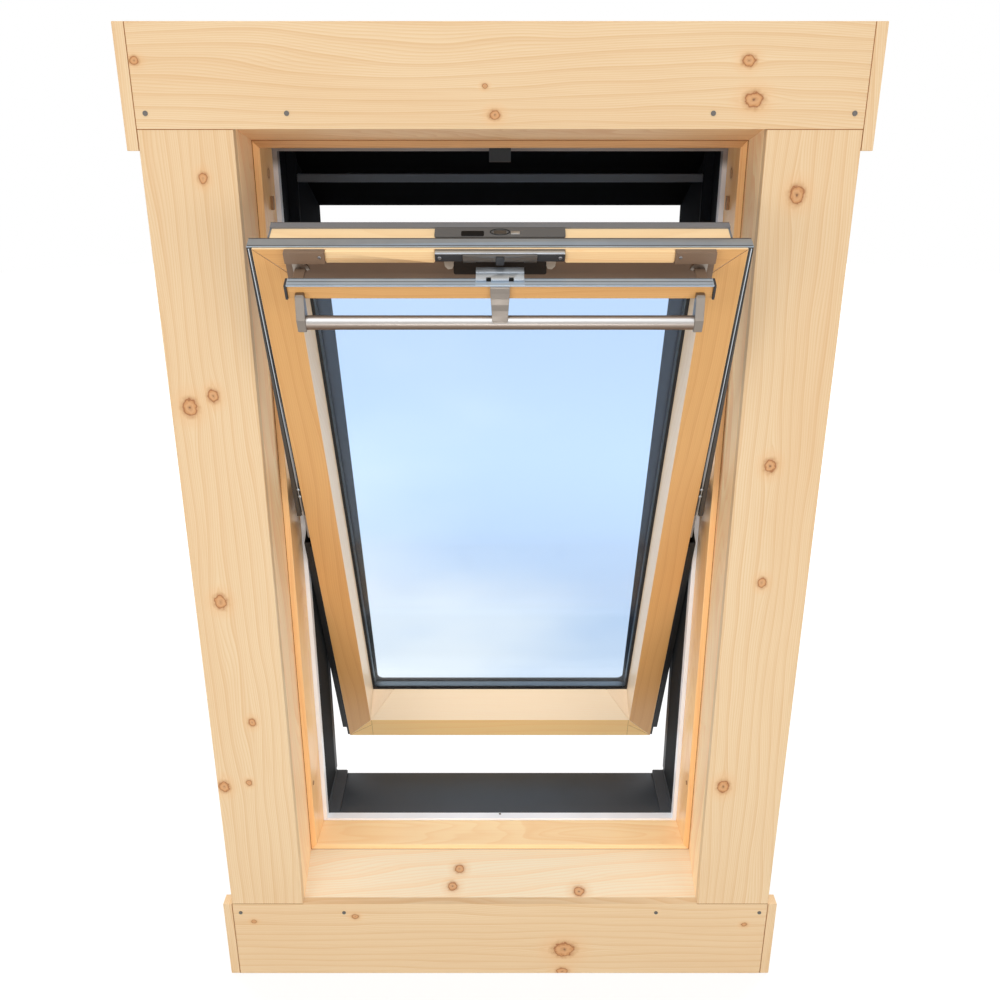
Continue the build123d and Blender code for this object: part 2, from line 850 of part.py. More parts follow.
# Outside covers of the sash: a flat ring with edge strips, and deep skirts below the pivot
cover_half = sash_step_outline[0] + COVER_SHEET
with BuildPart() as sash_cover:
    slab(sash_plane, (cover_half, -sash_down, sash_up), cover_back, cover_face)
    with BuildSketch(sash_plane.offset(cover_back)) as opening:
        with BuildLine() as outline:
            Polyline(
                (glass_half - COVER_LIP, glass_edge[1] + COVER_LIP),
                (glass_half - COVER_LIP_TOP, glass_edge[2] - COVER_LIP),
                (COVER_LIP_TOP - glass_half, glass_edge[2] - COVER_LIP),
                (COVER_LIP - glass_half, glass_edge[1] + COVER_LIP),
                close=True,
            )
        make_face()
        fillet(opening.vertices(), radius=COVER_CORNER)
    extrude(amount=COVER_SHEET, mode=Mode.SUBTRACT)
    for side in SIDES.values():
        block(
            sash_plane,
            (side * sash_step_outline[0], -COVER_WIDE_START, cover_back),
            (side * cover_half, sash_up, step_face - COVER_SHEET),
        )
    block(
        sash_plane,
        (-cover_half, sash_up, cover_back),
        (cover_half, sash_up + COVER_SHEET, cover_back + COVER_SKIRT),
    )
save(sash_cover, "sash_cover")

skirt_x = sash_half + COVER_WIDE
skirt_face = SASH_FACE - COVER_WIDE_DEPTH
skirt_low = COVER_WIDE_END - sash_down
for name, side in SIDES.items():
    with BuildPart() as skirt:
        with BuildSketch(along(sash_plane, -COVER_WIDE_START)) as profile:
            with BuildLine() as outline:
                Polyline(
                    (side * cover_half, cover_back),
                    (side * skirt_x, cover_back),
                    (side * skirt_x, skirt_face),
                    (side * sash_half, skirt_face),
                    (side * sash_half, skirt_face - COVER_SHEET),
                    (side * (skirt_x - COVER_SHEET), skirt_face - COVER_SHEET),
                    (side * (skirt_x - COVER_SHEET), cover_back + COVER_SHEET),
                    (side * cover_half, cover_back + COVER_SHEET),
                    close=True,
                )
            make_face()
        extrude(amount=-COVER_WIDE_START - skirt_low)
        block(
            sash_plane,
            (side * sash_half, -sash_down, skirt_face - COVER_SHEET),
            (side * (sash_half + COVER_BEAD), -COVER_WIDE_START, SASH_FACE - BEAD_DEPTH),
        )
        block(
            sash_plane,
            (side * sash_half, skirt_low, cover_back),
            (side * skirt_x, skirt_low + COVER_SHEET, skirt_face),
        )
    save(skirt, f"skirt_{name}")

# Edge rails from the pivot to the top and the strip that joins them
rail_back = SASH_FACE - RAIL_START - RAIL_DEPTH
for name, side in SIDES.items():
    with BuildPart() as rail:
        with BuildSketch(sash_plane.offset(rail_back)) as profile:
            with BuildLine() as outline:
                Polyline(
                    (side * sash_half, sash_up),
                    (side * (sash_half + RAIL_WIDTH), sash_up),
                    (side * (sash_half + RAIL_WIDTH + RAIL_SPREAD), RAIL_LOW),
                    (side * (sash_half + RAIL_SPREAD), RAIL_LOW),
                    close=True,
                )
            make_face()
        extrude(amount=RAIL_DEPTH)
    save(rail, f"rail_{name}")

with BuildPart() as top_strip:
    block(
        sash_plane,
        (-sash_half - RAIL_WIDTH, sash_up, rail_back),
        (sash_half + RAIL_WIDTH, sash_up + TOP_STRIP, rail_back + RAIL_DEPTH),
    )
save(top_strip, "top_strip")

# Slats, hinge covers and the ventilation channel on the sash top
with BuildPart() as slats:
    for side in SIDES.values():
        block(
            sash_plane,
            (side * LOCK_BODY_HALF, slat_low, SASH_FACE),
            (side * slat_outer, sash_up, SASH_FACE + SLAT_THICK),
        )
save(slats, "slats")

with BuildPart() as guide_covers:
    for side in SIDES.values():
        block(
            sash_plane,
            (side * slat_outer, slat_low, SASH_FACE),
            (side * cover_outer, sash_up, SASH_FACE + GUIDE_COVER_THICK),
        )
save(guide_covers, "guide_covers")

with BuildPart() as channel:
    block(
        sash_plane,
        (-cover_outer, flap_low - CHANNEL_LOW, SASH_FACE),
        (cover_outer, channel_top, SASH_FACE + CHANNEL_THICK),
    )
    for side in SIDES.values():
        block(
            sash_plane,
            (
                side * guide_x - GUIDE_WIDTH / 2 - GUIDE_PLAY,
                guide_up - GUIDE_THICK / 2 - GUIDE_PLAY,
                SASH_FACE,
            ),
            (
                side * guide_x + GUIDE_WIDTH / 2 + GUIDE_PLAY,
                guide_up + GUIDE_THICK / 2 + GUIDE_PLAY,
                SASH_FACE + CHANNEL_THICK,
            ),
            mode=Mode.SUBTRACT,
        )
save(channel, "vent_channel")

# Lock: case on the top edge, sliding bolt, body and housing on the room face
with BuildPart() as lock_case:
    with BuildSketch(along(sash_plane, case_high)) as profile:
        with Locations((0, lock_back + LOCK_DEPTH / 2)):
            Rectangle(2 * LOCK_HALF, LOCK_DEPTH)
        fillet(profile.vertices(), radius=LOCK_CORNER)
    extrude(amount=LOCK_HEIGHT)
    block(
        sash_plane,
        (-BOLT_WIDTH / 2 - BOLT_PLAY, sash_up, bolt_level - BOLT_THICK / 2 - BOLT_PLAY),
        (BOLT_WIDTH / 2 + BOLT_PLAY, case_high, bolt_level + BOLT_THICK / 2 + BOLT_PLAY),
        mode=Mode.SUBTRACT,
    )
save(lock_case, "lock_case")

with BuildPart() as lock_bolt:
    block(
        sash_plane,
        (-BOLT_WIDTH / 2, case_high - BOLT_LENGTH, bolt_level - BOLT_THICK / 2),
        (BOLT_WIDTH / 2, case_high, bolt_level + BOLT_THICK / 2),
    )
save(lock_bolt, "lock_bolt")

body_low = sash_up - LOCK_BODY_HEIGHT
housing_low = SASH_FACE + SLAT_THICK
with BuildPart() as lock_body:
    with BuildSketch(across(sash_plane, -HOUSING_HALF)) as profile:
        with BuildLine() as outline:
            Line((sash_up, SASH_FACE), (slat_low, SASH_FACE))
            Line((slat_low, SASH_FACE), (slat_low, housing_low))
            RadiusArc((slat_low, housing_low), (sash_up, SASH_FACE + HOUSING_RISE), 2 * HOUSING_RISE)
            Line((sash_up, SASH_FACE + HOUSING_RISE), (sash_up, SASH_FACE))
        make_face()
    extrude(amount=2 * HOUSING_HALF)
    block(
        sash_plane,
        (-LOCK_BODY_HALF, body_low, SASH_FACE),
        (LOCK_BODY_HALF, sash_up, SASH_FACE + LOCK_BODY_THICK),
    )
    block(
        sash_plane,
        (-saddle_slot, slat_low, SASH_FACE),
        (saddle_slot, saddle_top + FLAP_PLAY, SASH_FACE + HOUSING_RISE),
        mode=Mode.SUBTRACT,
    )
save(lock_body, "lock_body")

# Ventilation flap: timber board, metal trim, end caps with buffers, and the two guides
with BuildPart() as flap_board:
    block(sash_plane, (-flap_half, flap_low, flap_back), (flap_half, flap_top, flap_face))
save(flap_board, "flap_board")

with BuildPart() as flap_trim:
    block(
        sash_plane,
        (-flap_half, flap_top, flap_back),
        (flap_half, trim_top, flap_face + FLAP_NOSE),
    )
save(flap_trim, "flap_trim")

with BuildPart() as flap_ends:
    for side in SIDES.values():
        block(
            sash_plane,
            (side * flap_half, flap_low, flap_back),
            (side * (flap_half + FLAP_CAP), trim_top, flap_face + FLAP_NOSE),
        )
save(flap_ends, "flap_ends")

# Plate that joins the flap to the lock and slides into it
with BuildPart() as saddle:
    block(
        sash_plane,
        (-SADDLE_WIDTH / 2, trim_top, SASH_FACE + SADDLE_START),
        (SADDLE_WIDTH / 2, saddle_top, flap_back + SADDLE_LAP),
    )
    for side in SIDES.values():
        block(
            sash_plane,
            (side * SADDLE_NOTCH, trim_top, flap_back - SADDLE_NOTCH),
            (side * 2 * SADDLE_NOTCH, saddle_top, flap_back),
            mode=Mode.SUBTRACT,
        )
save(saddle, "saddle")

with BuildPart() as buffers:
    for side in SIDES.values():
        block(
            sash_plane,
            (side * buffer_x, flap_low - BUFFER_HEIGHT, flap_back),
            (side * (buffer_x + BUFFER_LENGTH), flap_low, flap_back + BUFFER_DEPTH),
        )
save(buffers, "buffers")

with BuildPart() as guides:
    for side in SIDES.values():
        block(
            sash_plane,
            (side * guide_x - GUIDE_WIDTH / 2, guide_up - GUIDE_THICK / 2, flap_back - GUIDE_LENGTH),
            (side * guide_x + GUIDE_WIDTH / 2, guide_up + GUIDE_THICK / 2, flap_back),
        )
save(guides, "guides")

# Control bar between its two end arms, with the tapered arm in the middle
with BuildPart() as control_bar:
    disc(sash_plane, -arm_x, (bar_up, bar_level), BAR_RADIUS, 2 * arm_x)
save(control_bar, "control_bar")

bar_low = bar_up - BAR_RADIUS
arm_front = bar_level + BAR_RADIUS
arm_end = bar_up + CENTRE_ARM_REACH
with BuildPart() as bar_arms:
    for side in SIDES.values():
        with BuildSketch(across(sash_plane, side * arm_x)) as profile:
            with BuildLine() as outline:
                Polyline(
                    (flap_top - ARM_DROP, flap_face),
                    (flap_top - ARM_DROP, flap_face + ARM_CAP),
                    (bar_up + BAR_RADIUS, arm_front),
                    (bar_low, arm_front),
                    (bar_low, bar_level - BAR_RADIUS),
                    (flap_low, flap_face),
                    close=True,
                )
            make_face()
        extrude(amount=side * ARM_WIDTH)
save(bar_arms, "bar_arms")

with BuildPart() as centre_arm:
    with BuildSketch(across(sash_plane, -CENTRE_ARM / 2)) as profile:
        with BuildLine() as outline:
            Polyline(
                (flap_top, flap_face),
                (flap_top, flap_face + ARM_THICK),
                (bar_up + BAR_RADIUS + ARM_TAIL, flap_face + 2 * ARM_THICK),
                (arm_end + ARM_THICK, arm_front + ARM_THICK / 2),
                (arm_end, arm_front),
                (arm_end, bar_level),
                (bar_up + BAR_RADIUS + ARM_THICK, flap_face),
                close=True,
            )
        make_face()
    extrude(amount=CENTRE_ARM)
    with BuildSketch(sash_plane.offset(flap_back)) as taper:
        with BuildLine() as outline:
            Polyline(
                (-CENTRE_ARM / 2, flap_top),
                (CENTRE_ARM / 2, flap_top),
                (CENTRE_ARM_END / 2, bar_up),
                (-CENTRE_ARM_END / 2, bar_up),
                close=True,
            )
        make_face()
    extrude(amount=2 * BAR_LIFT, mode=Mode.INTERSECT)
    disc(sash_plane, -CENTRE_ARM / 2, (bar_up, bar_level), BAR_RADIUS, CENTRE_ARM, mode=Mode.SUBTRACT)
save(centre_arm, "centre_arm")
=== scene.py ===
import math

import bmesh
import bpy
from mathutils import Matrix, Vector


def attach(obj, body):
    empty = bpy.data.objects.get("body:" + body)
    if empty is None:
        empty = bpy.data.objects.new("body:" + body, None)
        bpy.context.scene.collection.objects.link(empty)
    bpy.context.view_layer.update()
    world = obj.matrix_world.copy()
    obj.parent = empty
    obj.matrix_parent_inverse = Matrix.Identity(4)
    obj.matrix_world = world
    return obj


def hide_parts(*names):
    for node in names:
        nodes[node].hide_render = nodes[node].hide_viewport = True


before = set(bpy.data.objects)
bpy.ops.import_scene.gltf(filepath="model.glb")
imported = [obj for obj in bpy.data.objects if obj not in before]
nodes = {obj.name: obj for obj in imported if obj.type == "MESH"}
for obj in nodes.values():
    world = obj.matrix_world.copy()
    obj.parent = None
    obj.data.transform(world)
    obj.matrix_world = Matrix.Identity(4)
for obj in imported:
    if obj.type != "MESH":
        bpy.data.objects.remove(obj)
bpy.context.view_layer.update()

MM = 0.001
SIDES = (-1, 1)
WHITE = (1.0, 1.0, 1.0, 1.0)
BLACK = (0.0, 0.0, 0.0)

# The camera stands in the room and looks down the slope
CAM_TILT = 0.3796
CAM_PLACE = (0.0, -1.6172, 0.7072)
FOCAL_RATIO = 1.0299
SENSOR = 36.0
CAM_RANGE = 50.0

# The sash at rest: its pivot, its tilt and its own directions
TILT = math.radians(24.9)
PIVOT = Vector((0.0, 0.0194, 0.066))
X, Y, Z = Vector((1, 0, 0)), Vector((0, 1, 0)), Vector((0, 0, 1))
UP = Vector((0, -math.sin(TILT), math.cos(TILT)))
ROOM = Vector((0, -math.cos(TILT), -math.sin(TILT)))

# Faces of the solids, in millimetres
SASH_FACE = 64.6
SASH_FOOT = -680.5
SASH_TOP = 527.7
RAIL_FACE = 61.6
CHANNEL_FACE = 66.6
LOCK_END_FACE = 74.6
COVER_FACE = 73.5
CASING_FACE = 143.0
FRAME_FACE = 40.0
STRIP_FACE = -26.0


def linear(r, g, b):
    """A display colour, 0 to 255, as a scene colour."""
    out = []
    for value in (r, g, b):
        value /= 255.0
        out.append(value / 12.92 if value <= 0.04045 else ((value + 0.055) / 1.055) ** 2.4)
    return (*out, 1.0)


def blend_of(a, b, share):
    return tuple(p * (1 - share) + q * share for p, q in zip(a, b))


def darkened(color, share):
    return (*blend_of(color[:3], BLACK, share), 1.0)


# Node trees
class Tree:
    """A material's node tree with short ways to add nodes."""

    def __init__(self, name, shader="ShaderNodeBsdfPrincipled"):
        self.mat = bpy.data.materials.new(name)
        self.mat.use_nodes = True
        self.tree = self.mat.node_tree
        self.tree.nodes.clear()
        self.out = self.tree.nodes.new("ShaderNodeOutputMaterial")
        self.bsdf = self.tree.nodes.new(shader)
        self.link(self.bsdf.outputs[0], self.out.inputs["Surface"])
        self.place = self.node("ShaderNodeTexCoord").outputs["Object"]

    def link(self, a, b):
        self.tree.links.new(a, b)

    def node(self, kind, inputs=None, **props):
        made = self.tree.nodes.new(kind)
        for key, value in props.items():
            setattr(made, key, value)
        for key, value in (inputs or {}).items():
            self.put(made, key, value)
        return made

    def put(self, made, key, value):
        """Links a socket into an input, or sets the input to a plain value."""
        socket = made.inputs[key]
        if isinstance(value, bpy.types.NodeSocket):
            self.link(value, socket)
        else:
            socket.default_value = value

    def set(self, **values):
        """Fills the shader's inputs: base_color fills Base Color, and so on."""
        names = {"specular": "Specular IOR Level"}
        for key, value in values.items():
            self.put(self.bsdf, names.get(key, key.replace("_", " ").title()), value)

    def math(self, op, a, b=0.0):
        made = self.node("ShaderNodeMath", operation=op)
        self.put(made, 0, a)
        self.put(made, 1, b)
        return made.outputs[0]

    def add(self, a, b):
        return self.math("ADD", a, b)

    def less(self, a, b):
        return self.math("SUBTRACT", a, b)

    def times(self, a, b):
        return self.math("MULTIPLY", a, b)

    def hypot(self, a, b):
        return self.math("SQRT", self.add(self.times(a, a), self.times(b, b)))

    def mix(self, factor, a, b):
        made = self.node("ShaderNodeMix", data_type="RGBA")
        for index, value in ((0, factor), (6, a), (7, b)):
            self.put(made, index, value)
        return made.outputs[2]

    def ramp(self, value, stops):
        """A colour ramp's two outputs, colour and alpha."""
        made = self.node("ShaderNodeValToRGB")
        elements = made.color_ramp.elements
        while len(elements) < len(stops):
            elements.new(0.5)
        for element, (position, color) in zip(elements, stops):
            element.position = position
            element.color = color
        self.put(made, 0, value)
        return made.outputs

    def smooth(self, value, low, high, to_low=0.0, to_high=1.0):
        made = self.node("ShaderNodeMapRange", interpolation_type="SMOOTHSTEP")
        for index, number in enumerate((value, low, high, to_low, to_high)):
            self.put(made, index, number)
        return made.outputs[0]

    def tooth(self, value, power, edge):
        """Rises with a power of a value from 0 to 1, and falls off after the edge."""
        return self.times(self.math("POWER", value, power), self.smooth(value, edge, 1.0, 1.0, 0.0))

    def noise(self, place, scale, detail=2.0, rough=0.5):
        inputs = {"Vector": place, "Scale": scale, "Detail": detail, "Roughness": rough}
        return self.node("ShaderNodeTexNoise", inputs).outputs[0]

    def dot(self, place, direction):
        made = self.node("ShaderNodeVectorMath", {0: place, 1: direction}, operation="DOT_PRODUCT")
        return made.outputs["Value"]

    def along(self, direction):
        return self.dot(self.place, direction)

    def vector(self, x, y, z):
        return self.node("ShaderNodeCombineXYZ", {"X": x, "Y": y, "Z": z}).outputs[0]

    def bump(self, height, strength, distance):
        inputs = {"Strength": strength, "Distance": distance, "Height": height}
        self.link(self.node("ShaderNodeBump", inputs).outputs[0], self.bsdf.inputs["Normal"])


# Pine: a knot's rings from its heart outward, as (distance / reach, colour, share)
KNOT_RINGS = [
    (0.00, (112, 62, 30), 0.85), (0.035, (186, 128, 80), 0.80), (0.12, (208, 154, 104), 0.85),
    (0.19, (196, 136, 84), 0.90), (0.225, (148, 88, 46), 0.95), (0.265, (186, 126, 74), 0.60),
    (0.40, (222, 172, 120), 0.30), (0.75, (230, 184, 134), 0.0),
]
KNOT_REACH = 4.0
KNOT_LENGTH = 0.82
KNOT_WOBBLE = 0.7
WOBBLE_SCALE = 170.0

# How the grain bends round a knot, in shares of the knot's radius
BEND_REACH = 2.6
BEND_LENGTH = 0.42
BEND_TURN = 0.6
BEND_DEPTH = 1.2

# The yearly rings round the pith under a board, in metres
RING_STEP = 0.0030
RING_WAVE = 0.06
BOLD_RINGS = 6.0
PITH_ASIDE = 0.04
PITH_DEPTH, PITH_DRIFT = 0.045, 0.02
PITH_LEAN = 0.05
FIBRE_SCALE = (7.0, 520.0, 320.0)

# A tooth's power and the share of its width where it falls off
LATE_TOOTH = (2.2, 0.86)
BOLD_TOOTH = (5.0, 0.93)

# How strongly each kind of line colours the wood
CLOUD_SHARE, LATE_SHARE, BOLD_SHARE, FIBRE_SHARE = 0.40, 0.42, 0.55, 0.20
# Painted light on the sash's faces behind its room face: the grain's share in it, and where it
# fades out at the room face and at the foot
PALE_GRAIN = 0.15
FACE_FADE = (-0.0004, -0.0001)
FOOT_FADE = 0.0010
WOOD_COAT_ROUGH = 0.25
WOOD_GLOSS = 0.3


def look_of(light, dark, rough, coat, contrast):
    return dict(light=linear(*light), dark=linear(*dark), rough=rough, coat=coat, contrast=contrast)


def raw(light, dark):
    return look_of(light, dark, rough=0.55, coat=0.0, contrast=1.0)


def lacquered(light, dark):
    return look_of(light, dark, rough=0.34, coat=0.3, contrast=0.8)


RAW = raw((230, 203, 164), (208, 158, 102))
# Lit copies of the raw pine: the next two looks, the sill's and the side reveals', are lighter and
# paint light where light falls on them
LIT_SILL_RAW = raw((236, 222, 194), (236, 188, 132))
LIT_REVEAL_RAW = raw((255, 228, 184), (240, 174, 116))
WARM_TOP = raw((252, 208, 156), (226, 160, 100))
LACQUER = lacquered((226, 174, 109), (198, 134, 70))
# Lit and shaded copies of the lacquered pine: the next looks paint light on the frame's bottom (a
# look the slats share too), shade on the frame's top, and light on the frame's sides and on the
# sash's lower end
PALE_LACQUER = lacquered((255, 223, 172), (238, 178, 114))
SHADED_LACQUER = lacquered((212, 162, 106), (178, 122, 68))
LIT_FRAME_SIDE = lacquered((255, 210, 148), (232, 162, 98))
LIT_SASH_END = lacquered((255, 214, 138), (248, 178, 96))


def wood(name, look, axes, seed, knots=(), bevel_light=None):
    """Pine cut along the grain.

    axes are the board's directions along the grain, across it and into the board, and knots is a
    list of (along, across, radius) in millimetres on its face. The last argument is painted light:
    a lighter colour for the sash's faces behind its room face, but not on the end under the sash's
    foot.
    """
    t = Tree(name)
    u, v, w = (t.along(direction) for direction in axes)
    light, dark = look["light"], look["dark"]

    # The grain goes round each knot
    shift = 0.0
    nearest = KNOT_REACH
    wobble = t.noise(t.place, WOBBLE_SCALE)
    for ku, kv, kr in knots:
        radius = kr * MM
        du = t.less(u, ku * MM)
        dv = t.less(v, kv * MM)
        reach = radius * radius * BEND_REACH
        squeezed = t.hypot(t.times(du, BEND_LENGTH), dv)
        near = t.math("DIVIDE", reach, t.add(t.times(squeezed, squeezed), reach))
        side = t.math("DIVIDE", dv, t.add(t.math("ABSOLUTE", dv), radius * BEND_TURN))
        shift = t.add(shift, t.times(t.times(side, near), -radius * BEND_DEPTH))
        uneven = t.times(t.less(wobble, 0.5), radius * KNOT_WOBBLE)
        away = t.add(t.hypot(t.times(du, KNOT_LENGTH), dv), uneven)
        nearest = t.math("MINIMUM", nearest, t.math("DIVIDE", away, radius))
    v_bent = t.add(v, shift)

    # Rings round a slowly bent pith under the board give long arches and fine lines
    slow_place = t.vector(t.times(u, 1.2), t.times(v_bent, 6.0), seed)
    slow = t.noise(slow_place, 1.7, 2.0, 0.4)
    pith = t.add(v_bent, math.sin(seed * 5.1) * PITH_ASIDE)
    depth = PITH_DEPTH + PITH_DRIFT * math.cos(seed * 3.3)
    lean = PITH_LEAN * math.sin(seed * 2.7 + 1)
    deep = t.add(t.add(w, depth), t.times(u, lean))
    wave = t.times(t.less(slow, 0.5), RING_WAVE)
    turns = t.times(t.add(t.hypot(pith, deep), wave), 1 / RING_STEP)
    late = t.tooth(t.math("FRACT", turns), *LATE_TOOTH)
    bold = t.tooth(t.math("FRACT", t.times(turns, 1 / BOLD_RINGS)), *BOLD_TOOTH)
    fibre = t.noise(t.vector(*map(t.times, (u, v_bent, w), FIBRE_SCALE)), 1.0, 3.0)
    cloud = t.noise(slow_place, 1.1, 3.0)

    contrast = look["contrast"]
    middle = blend_of(light, dark, 0.55)
    base = t.mix(t.times(t.smooth(cloud, 0.3, 0.75), CLOUD_SHARE), light, middle)
    base = t.mix(t.times(late, LATE_SHARE * contrast), base, dark)
    base = t.mix(t.times(bold, BOLD_SHARE * contrast), base, blend_of(dark, light, 0.1))
    base = t.mix(t.times(t.smooth(fibre, 0.42, 0.8), FIBRE_SHARE * contrast), base, dark)
    if knots:
        stops = [(position, (*linear(*color)[:3], share)) for position, color, share in KNOT_RINGS]
        colour, share = t.ramp(t.times(nearest, 1 / KNOT_REACH), stops)
        base = t.mix(share, base, colour)
    if bevel_light:
        # Painted light: the faces behind the room face take the lighter colour, but not the end
        # under the foot
        level = PIVOT.dot(ROOM) + SASH_FACE * MM
        foot = PIVOT.dot(UP) + SASH_FOOT * MM
        behind = t.smooth(t.along(ROOM), *(level + edge for edge in FACE_FADE), 1.0, 0.0)
        behind = t.times(behind, t.smooth(t.along(UP), foot, foot + FOOT_FADE))
        base = t.mix(behind, base, t.mix(t.times(t.add(late, fibre), PALE_GRAIN), bevel_light, base))
    t.set(base_color=base, roughness=look["rough"], coat_weight=look["coat"],
          coat_roughness=WOOD_COAT_ROUGH, specular=WOOD_GLOSS)
    t.bump(t.add(t.times(late, 0.5), t.times(fibre, 0.35)), 0.2, 0.0004)
    return t.mat


# Metal, coats, plastic and glass
BRUSH_ALONG, BRUSH_ACROSS = 8.0, 900.0
SPECK_SCALE = 26.0
COAT_CLOUD_SCALE = 9.0
COAT_GRAIN_SCALE = 1400.0
ANTHRACITE = linear(70, 73, 77)


def brush_marks(t, direction):
    """A noise drawn out along a direction."""
    stretch = [BRUSH_ACROSS * (1 - abs(c)) + BRUSH_ALONG * abs(c) for c in direction]
    place = t.node("ShaderNodeVectorMath", {0: t.place, 1: stretch}, operation="MULTIPLY")
    return t.noise(place.outputs[0], 1.0)


def coat_cloud(t):
    return t.noise(t.place, COAT_CLOUD_SCALE, 3.0)


def coat_grain(t):
    t.bump(t.noise(t.place, COAT_GRAIN_SCALE), 0.1, 0.0003)


def metal(name, color, rough, along=None, mottled=0.35, metallic=1.0):
    """Satin metal, brushed along a direction where one is given."""
    t = Tree(name)
    speck = t.noise(t.place, SPECK_SCALE, 4.0)
    patches = t.times(t.smooth(speck, 0.35, 0.7), mottled)
    t.set(base_color=t.mix(patches, color, darkened(color, 0.18)), metallic=metallic,
          roughness=t.add(rough - 0.04, t.times(speck, 0.09)))
    if along is not None:
        t.bump(brush_marks(t, along), 0.12, 0.0002)
    return t.mat


def coated(name, color, rough, specular=0.4, above=None):
    """A powder coat or moulded plastic with a fine grain.

    above is (colour, height in metres): painted shade, a darker colour over that height.
    """
    t = Tree(name)
    broad = coat_cloud(t)
    base = t.mix(t.times(t.smooth(broad, 0.3, 0.75), 0.4), color, darkened(color, 0.2))
    if above:
        upper_shade, level = above
        base = t.mix(t.smooth(t.along(Z), level - 0.01, level + 0.01), base, upper_shade)
    t.set(base_color=base, roughness=t.add(rough - 0.05, t.times(broad, 0.1)), specular=specular)
    coat_grain(t)
    return t.mat


def glass(name, clear, cloud):
    """A thin pane whose tint is a painted summer sky with soft clouds, with a clear gloss."""
    t = Tree(name, "ShaderNodeMixShader")
    drift = t.noise(t.vector(t.along(X), t.times(t.along(UP), 1.5), 3.7), 1.7, 3.0, 0.45)
    fall = t.smooth(t.along(UP), -0.62, 0.10, 0.34, 0.0)
    side = t.smooth(t.along(X), -0.28, 0.22, 0.16, 0.0)
    clouds = t.smooth(t.add(t.times(drift, 0.7), t.add(fall, side)), 0.38, 0.92)
    see = t.node("ShaderNodeBsdfTransparent", {"Color": t.mix(clouds, clear, cloud)})
    gloss = t.node("ShaderNodeBsdfGlossy", {"Roughness": 0.03})
    facing = t.node("ShaderNodeLayerWeight", {"Blend": 0.5}).outputs["Facing"]
    t.put(t.bsdf, 0, t.add(t.times(t.math("POWER", facing, 5.0), 0.6), 0.02))
    t.put(t.bsdf, 1, see.outputs[0])
    t.put(t.bsdf, 2, gloss.outputs[0])
    return t.mat


# Where the outside covers' outer faces begin, in metres: outward, sideways and up
OUTER_Y, OUTER_X, OUTER_Z = 0.1440, 0.3950, 0.6740
COVER_EDGE = 0.0006


def shaded_inside(name, inside_shade):
    """The dark covers' coat, with painted shade: a darker colour on the sheet's inner side."""
    t = Tree(name)
    outer = t.smooth(t.along(Y), OUTER_Y, OUTER_Y + COVER_EDGE)
    aside = t.smooth(t.math("ABSOLUTE", t.along(X)), OUTER_X, OUTER_X + COVER_EDGE)
    outer = t.math("MAXIMUM", outer, aside)
    outer = t.math("MAXIMUM", outer, t.smooth(t.along(Z), OUTER_Z, OUTER_Z + COVER_EDGE))
    coat = t.mix(t.times(coat_cloud(t), 0.25), ANTHRACITE, linear(58, 60, 63))
    t.set(base_color=t.mix(outer, inside_shade, coat),
          roughness=t.add(t.times(outer, -0.2), 0.68),
          specular=t.add(t.times(outer, 0.2), 0.04))
    coat_grain(t)
    return t.mat


# Where the sash cover's top edge and its room side begin, in metres from the pivot
COVER_TOP = (0.505, 0.512)
COVER_INSIDE = (0.0052, 0.0062)


def sash_cover_coat():
    """Anthracite outside, with painted reflections: warm grey on the room side and blue-grey along
    the top edge.
    """
    t = Tree("sash_cover_coat")
    over = t.smooth(t.along(UP), *(PIVOT.dot(UP) + edge for edge in COVER_TOP))
    inside = t.smooth(t.along(ROOM), *(PIVOT.dot(ROOM) + edge for edge in COVER_INSIDE))
    room_side_reflection = t.mix(over, linear(108, 98, 88), linear(124, 128, 134))
    shade = t.mix(inside, ANTHRACITE, room_side_reflection)
    t.set(base_color=t.mix(t.times(coat_cloud(t), 0.2), shade, linear(58, 58, 58)),
          metallic=0.3, roughness=0.42)
    coat_grain(t)
    return t.mat


# The control bar's painted highlight and painted reflection, by how far a face turns to the light
# from the room
BAR_LIGHT = (0.0, -0.85, 0.53)
BAR_SHEEN_COLOURS = [
    (0.0, linear(96, 74, 58)), (0.50, linear(122, 104, 90)), (0.76, linear(146, 134, 124)),
    (0.92, linear(176, 170, 165)), (1.0, linear(206, 205, 204)),
]


def bar_painted_sheen():
    """A painted highlight, a bright band towards the room, and a painted brown reflection at the
    bar's edges.
    """
    t = Tree("bar_painted_sheen")
    normal = t.node("ShaderNodeTexCoord").outputs["Normal"]
    brushed = brush_marks(t, X)
    band = t.add(t.dot(normal, BAR_LIGHT), t.times(t.less(brushed, 0.5), 0.06))
    t.set(base_color=t.ramp(band, BAR_SHEEN_COLOURS)[0], metallic=0.6, roughness=0.3)
    t.bump(brushed, 0.12, 0.0002)
    return t.mat


def paint(material, *names):
    for name in names:
        slots = nodes[name].data.materials
        slots.clear()
        slots.append(material)


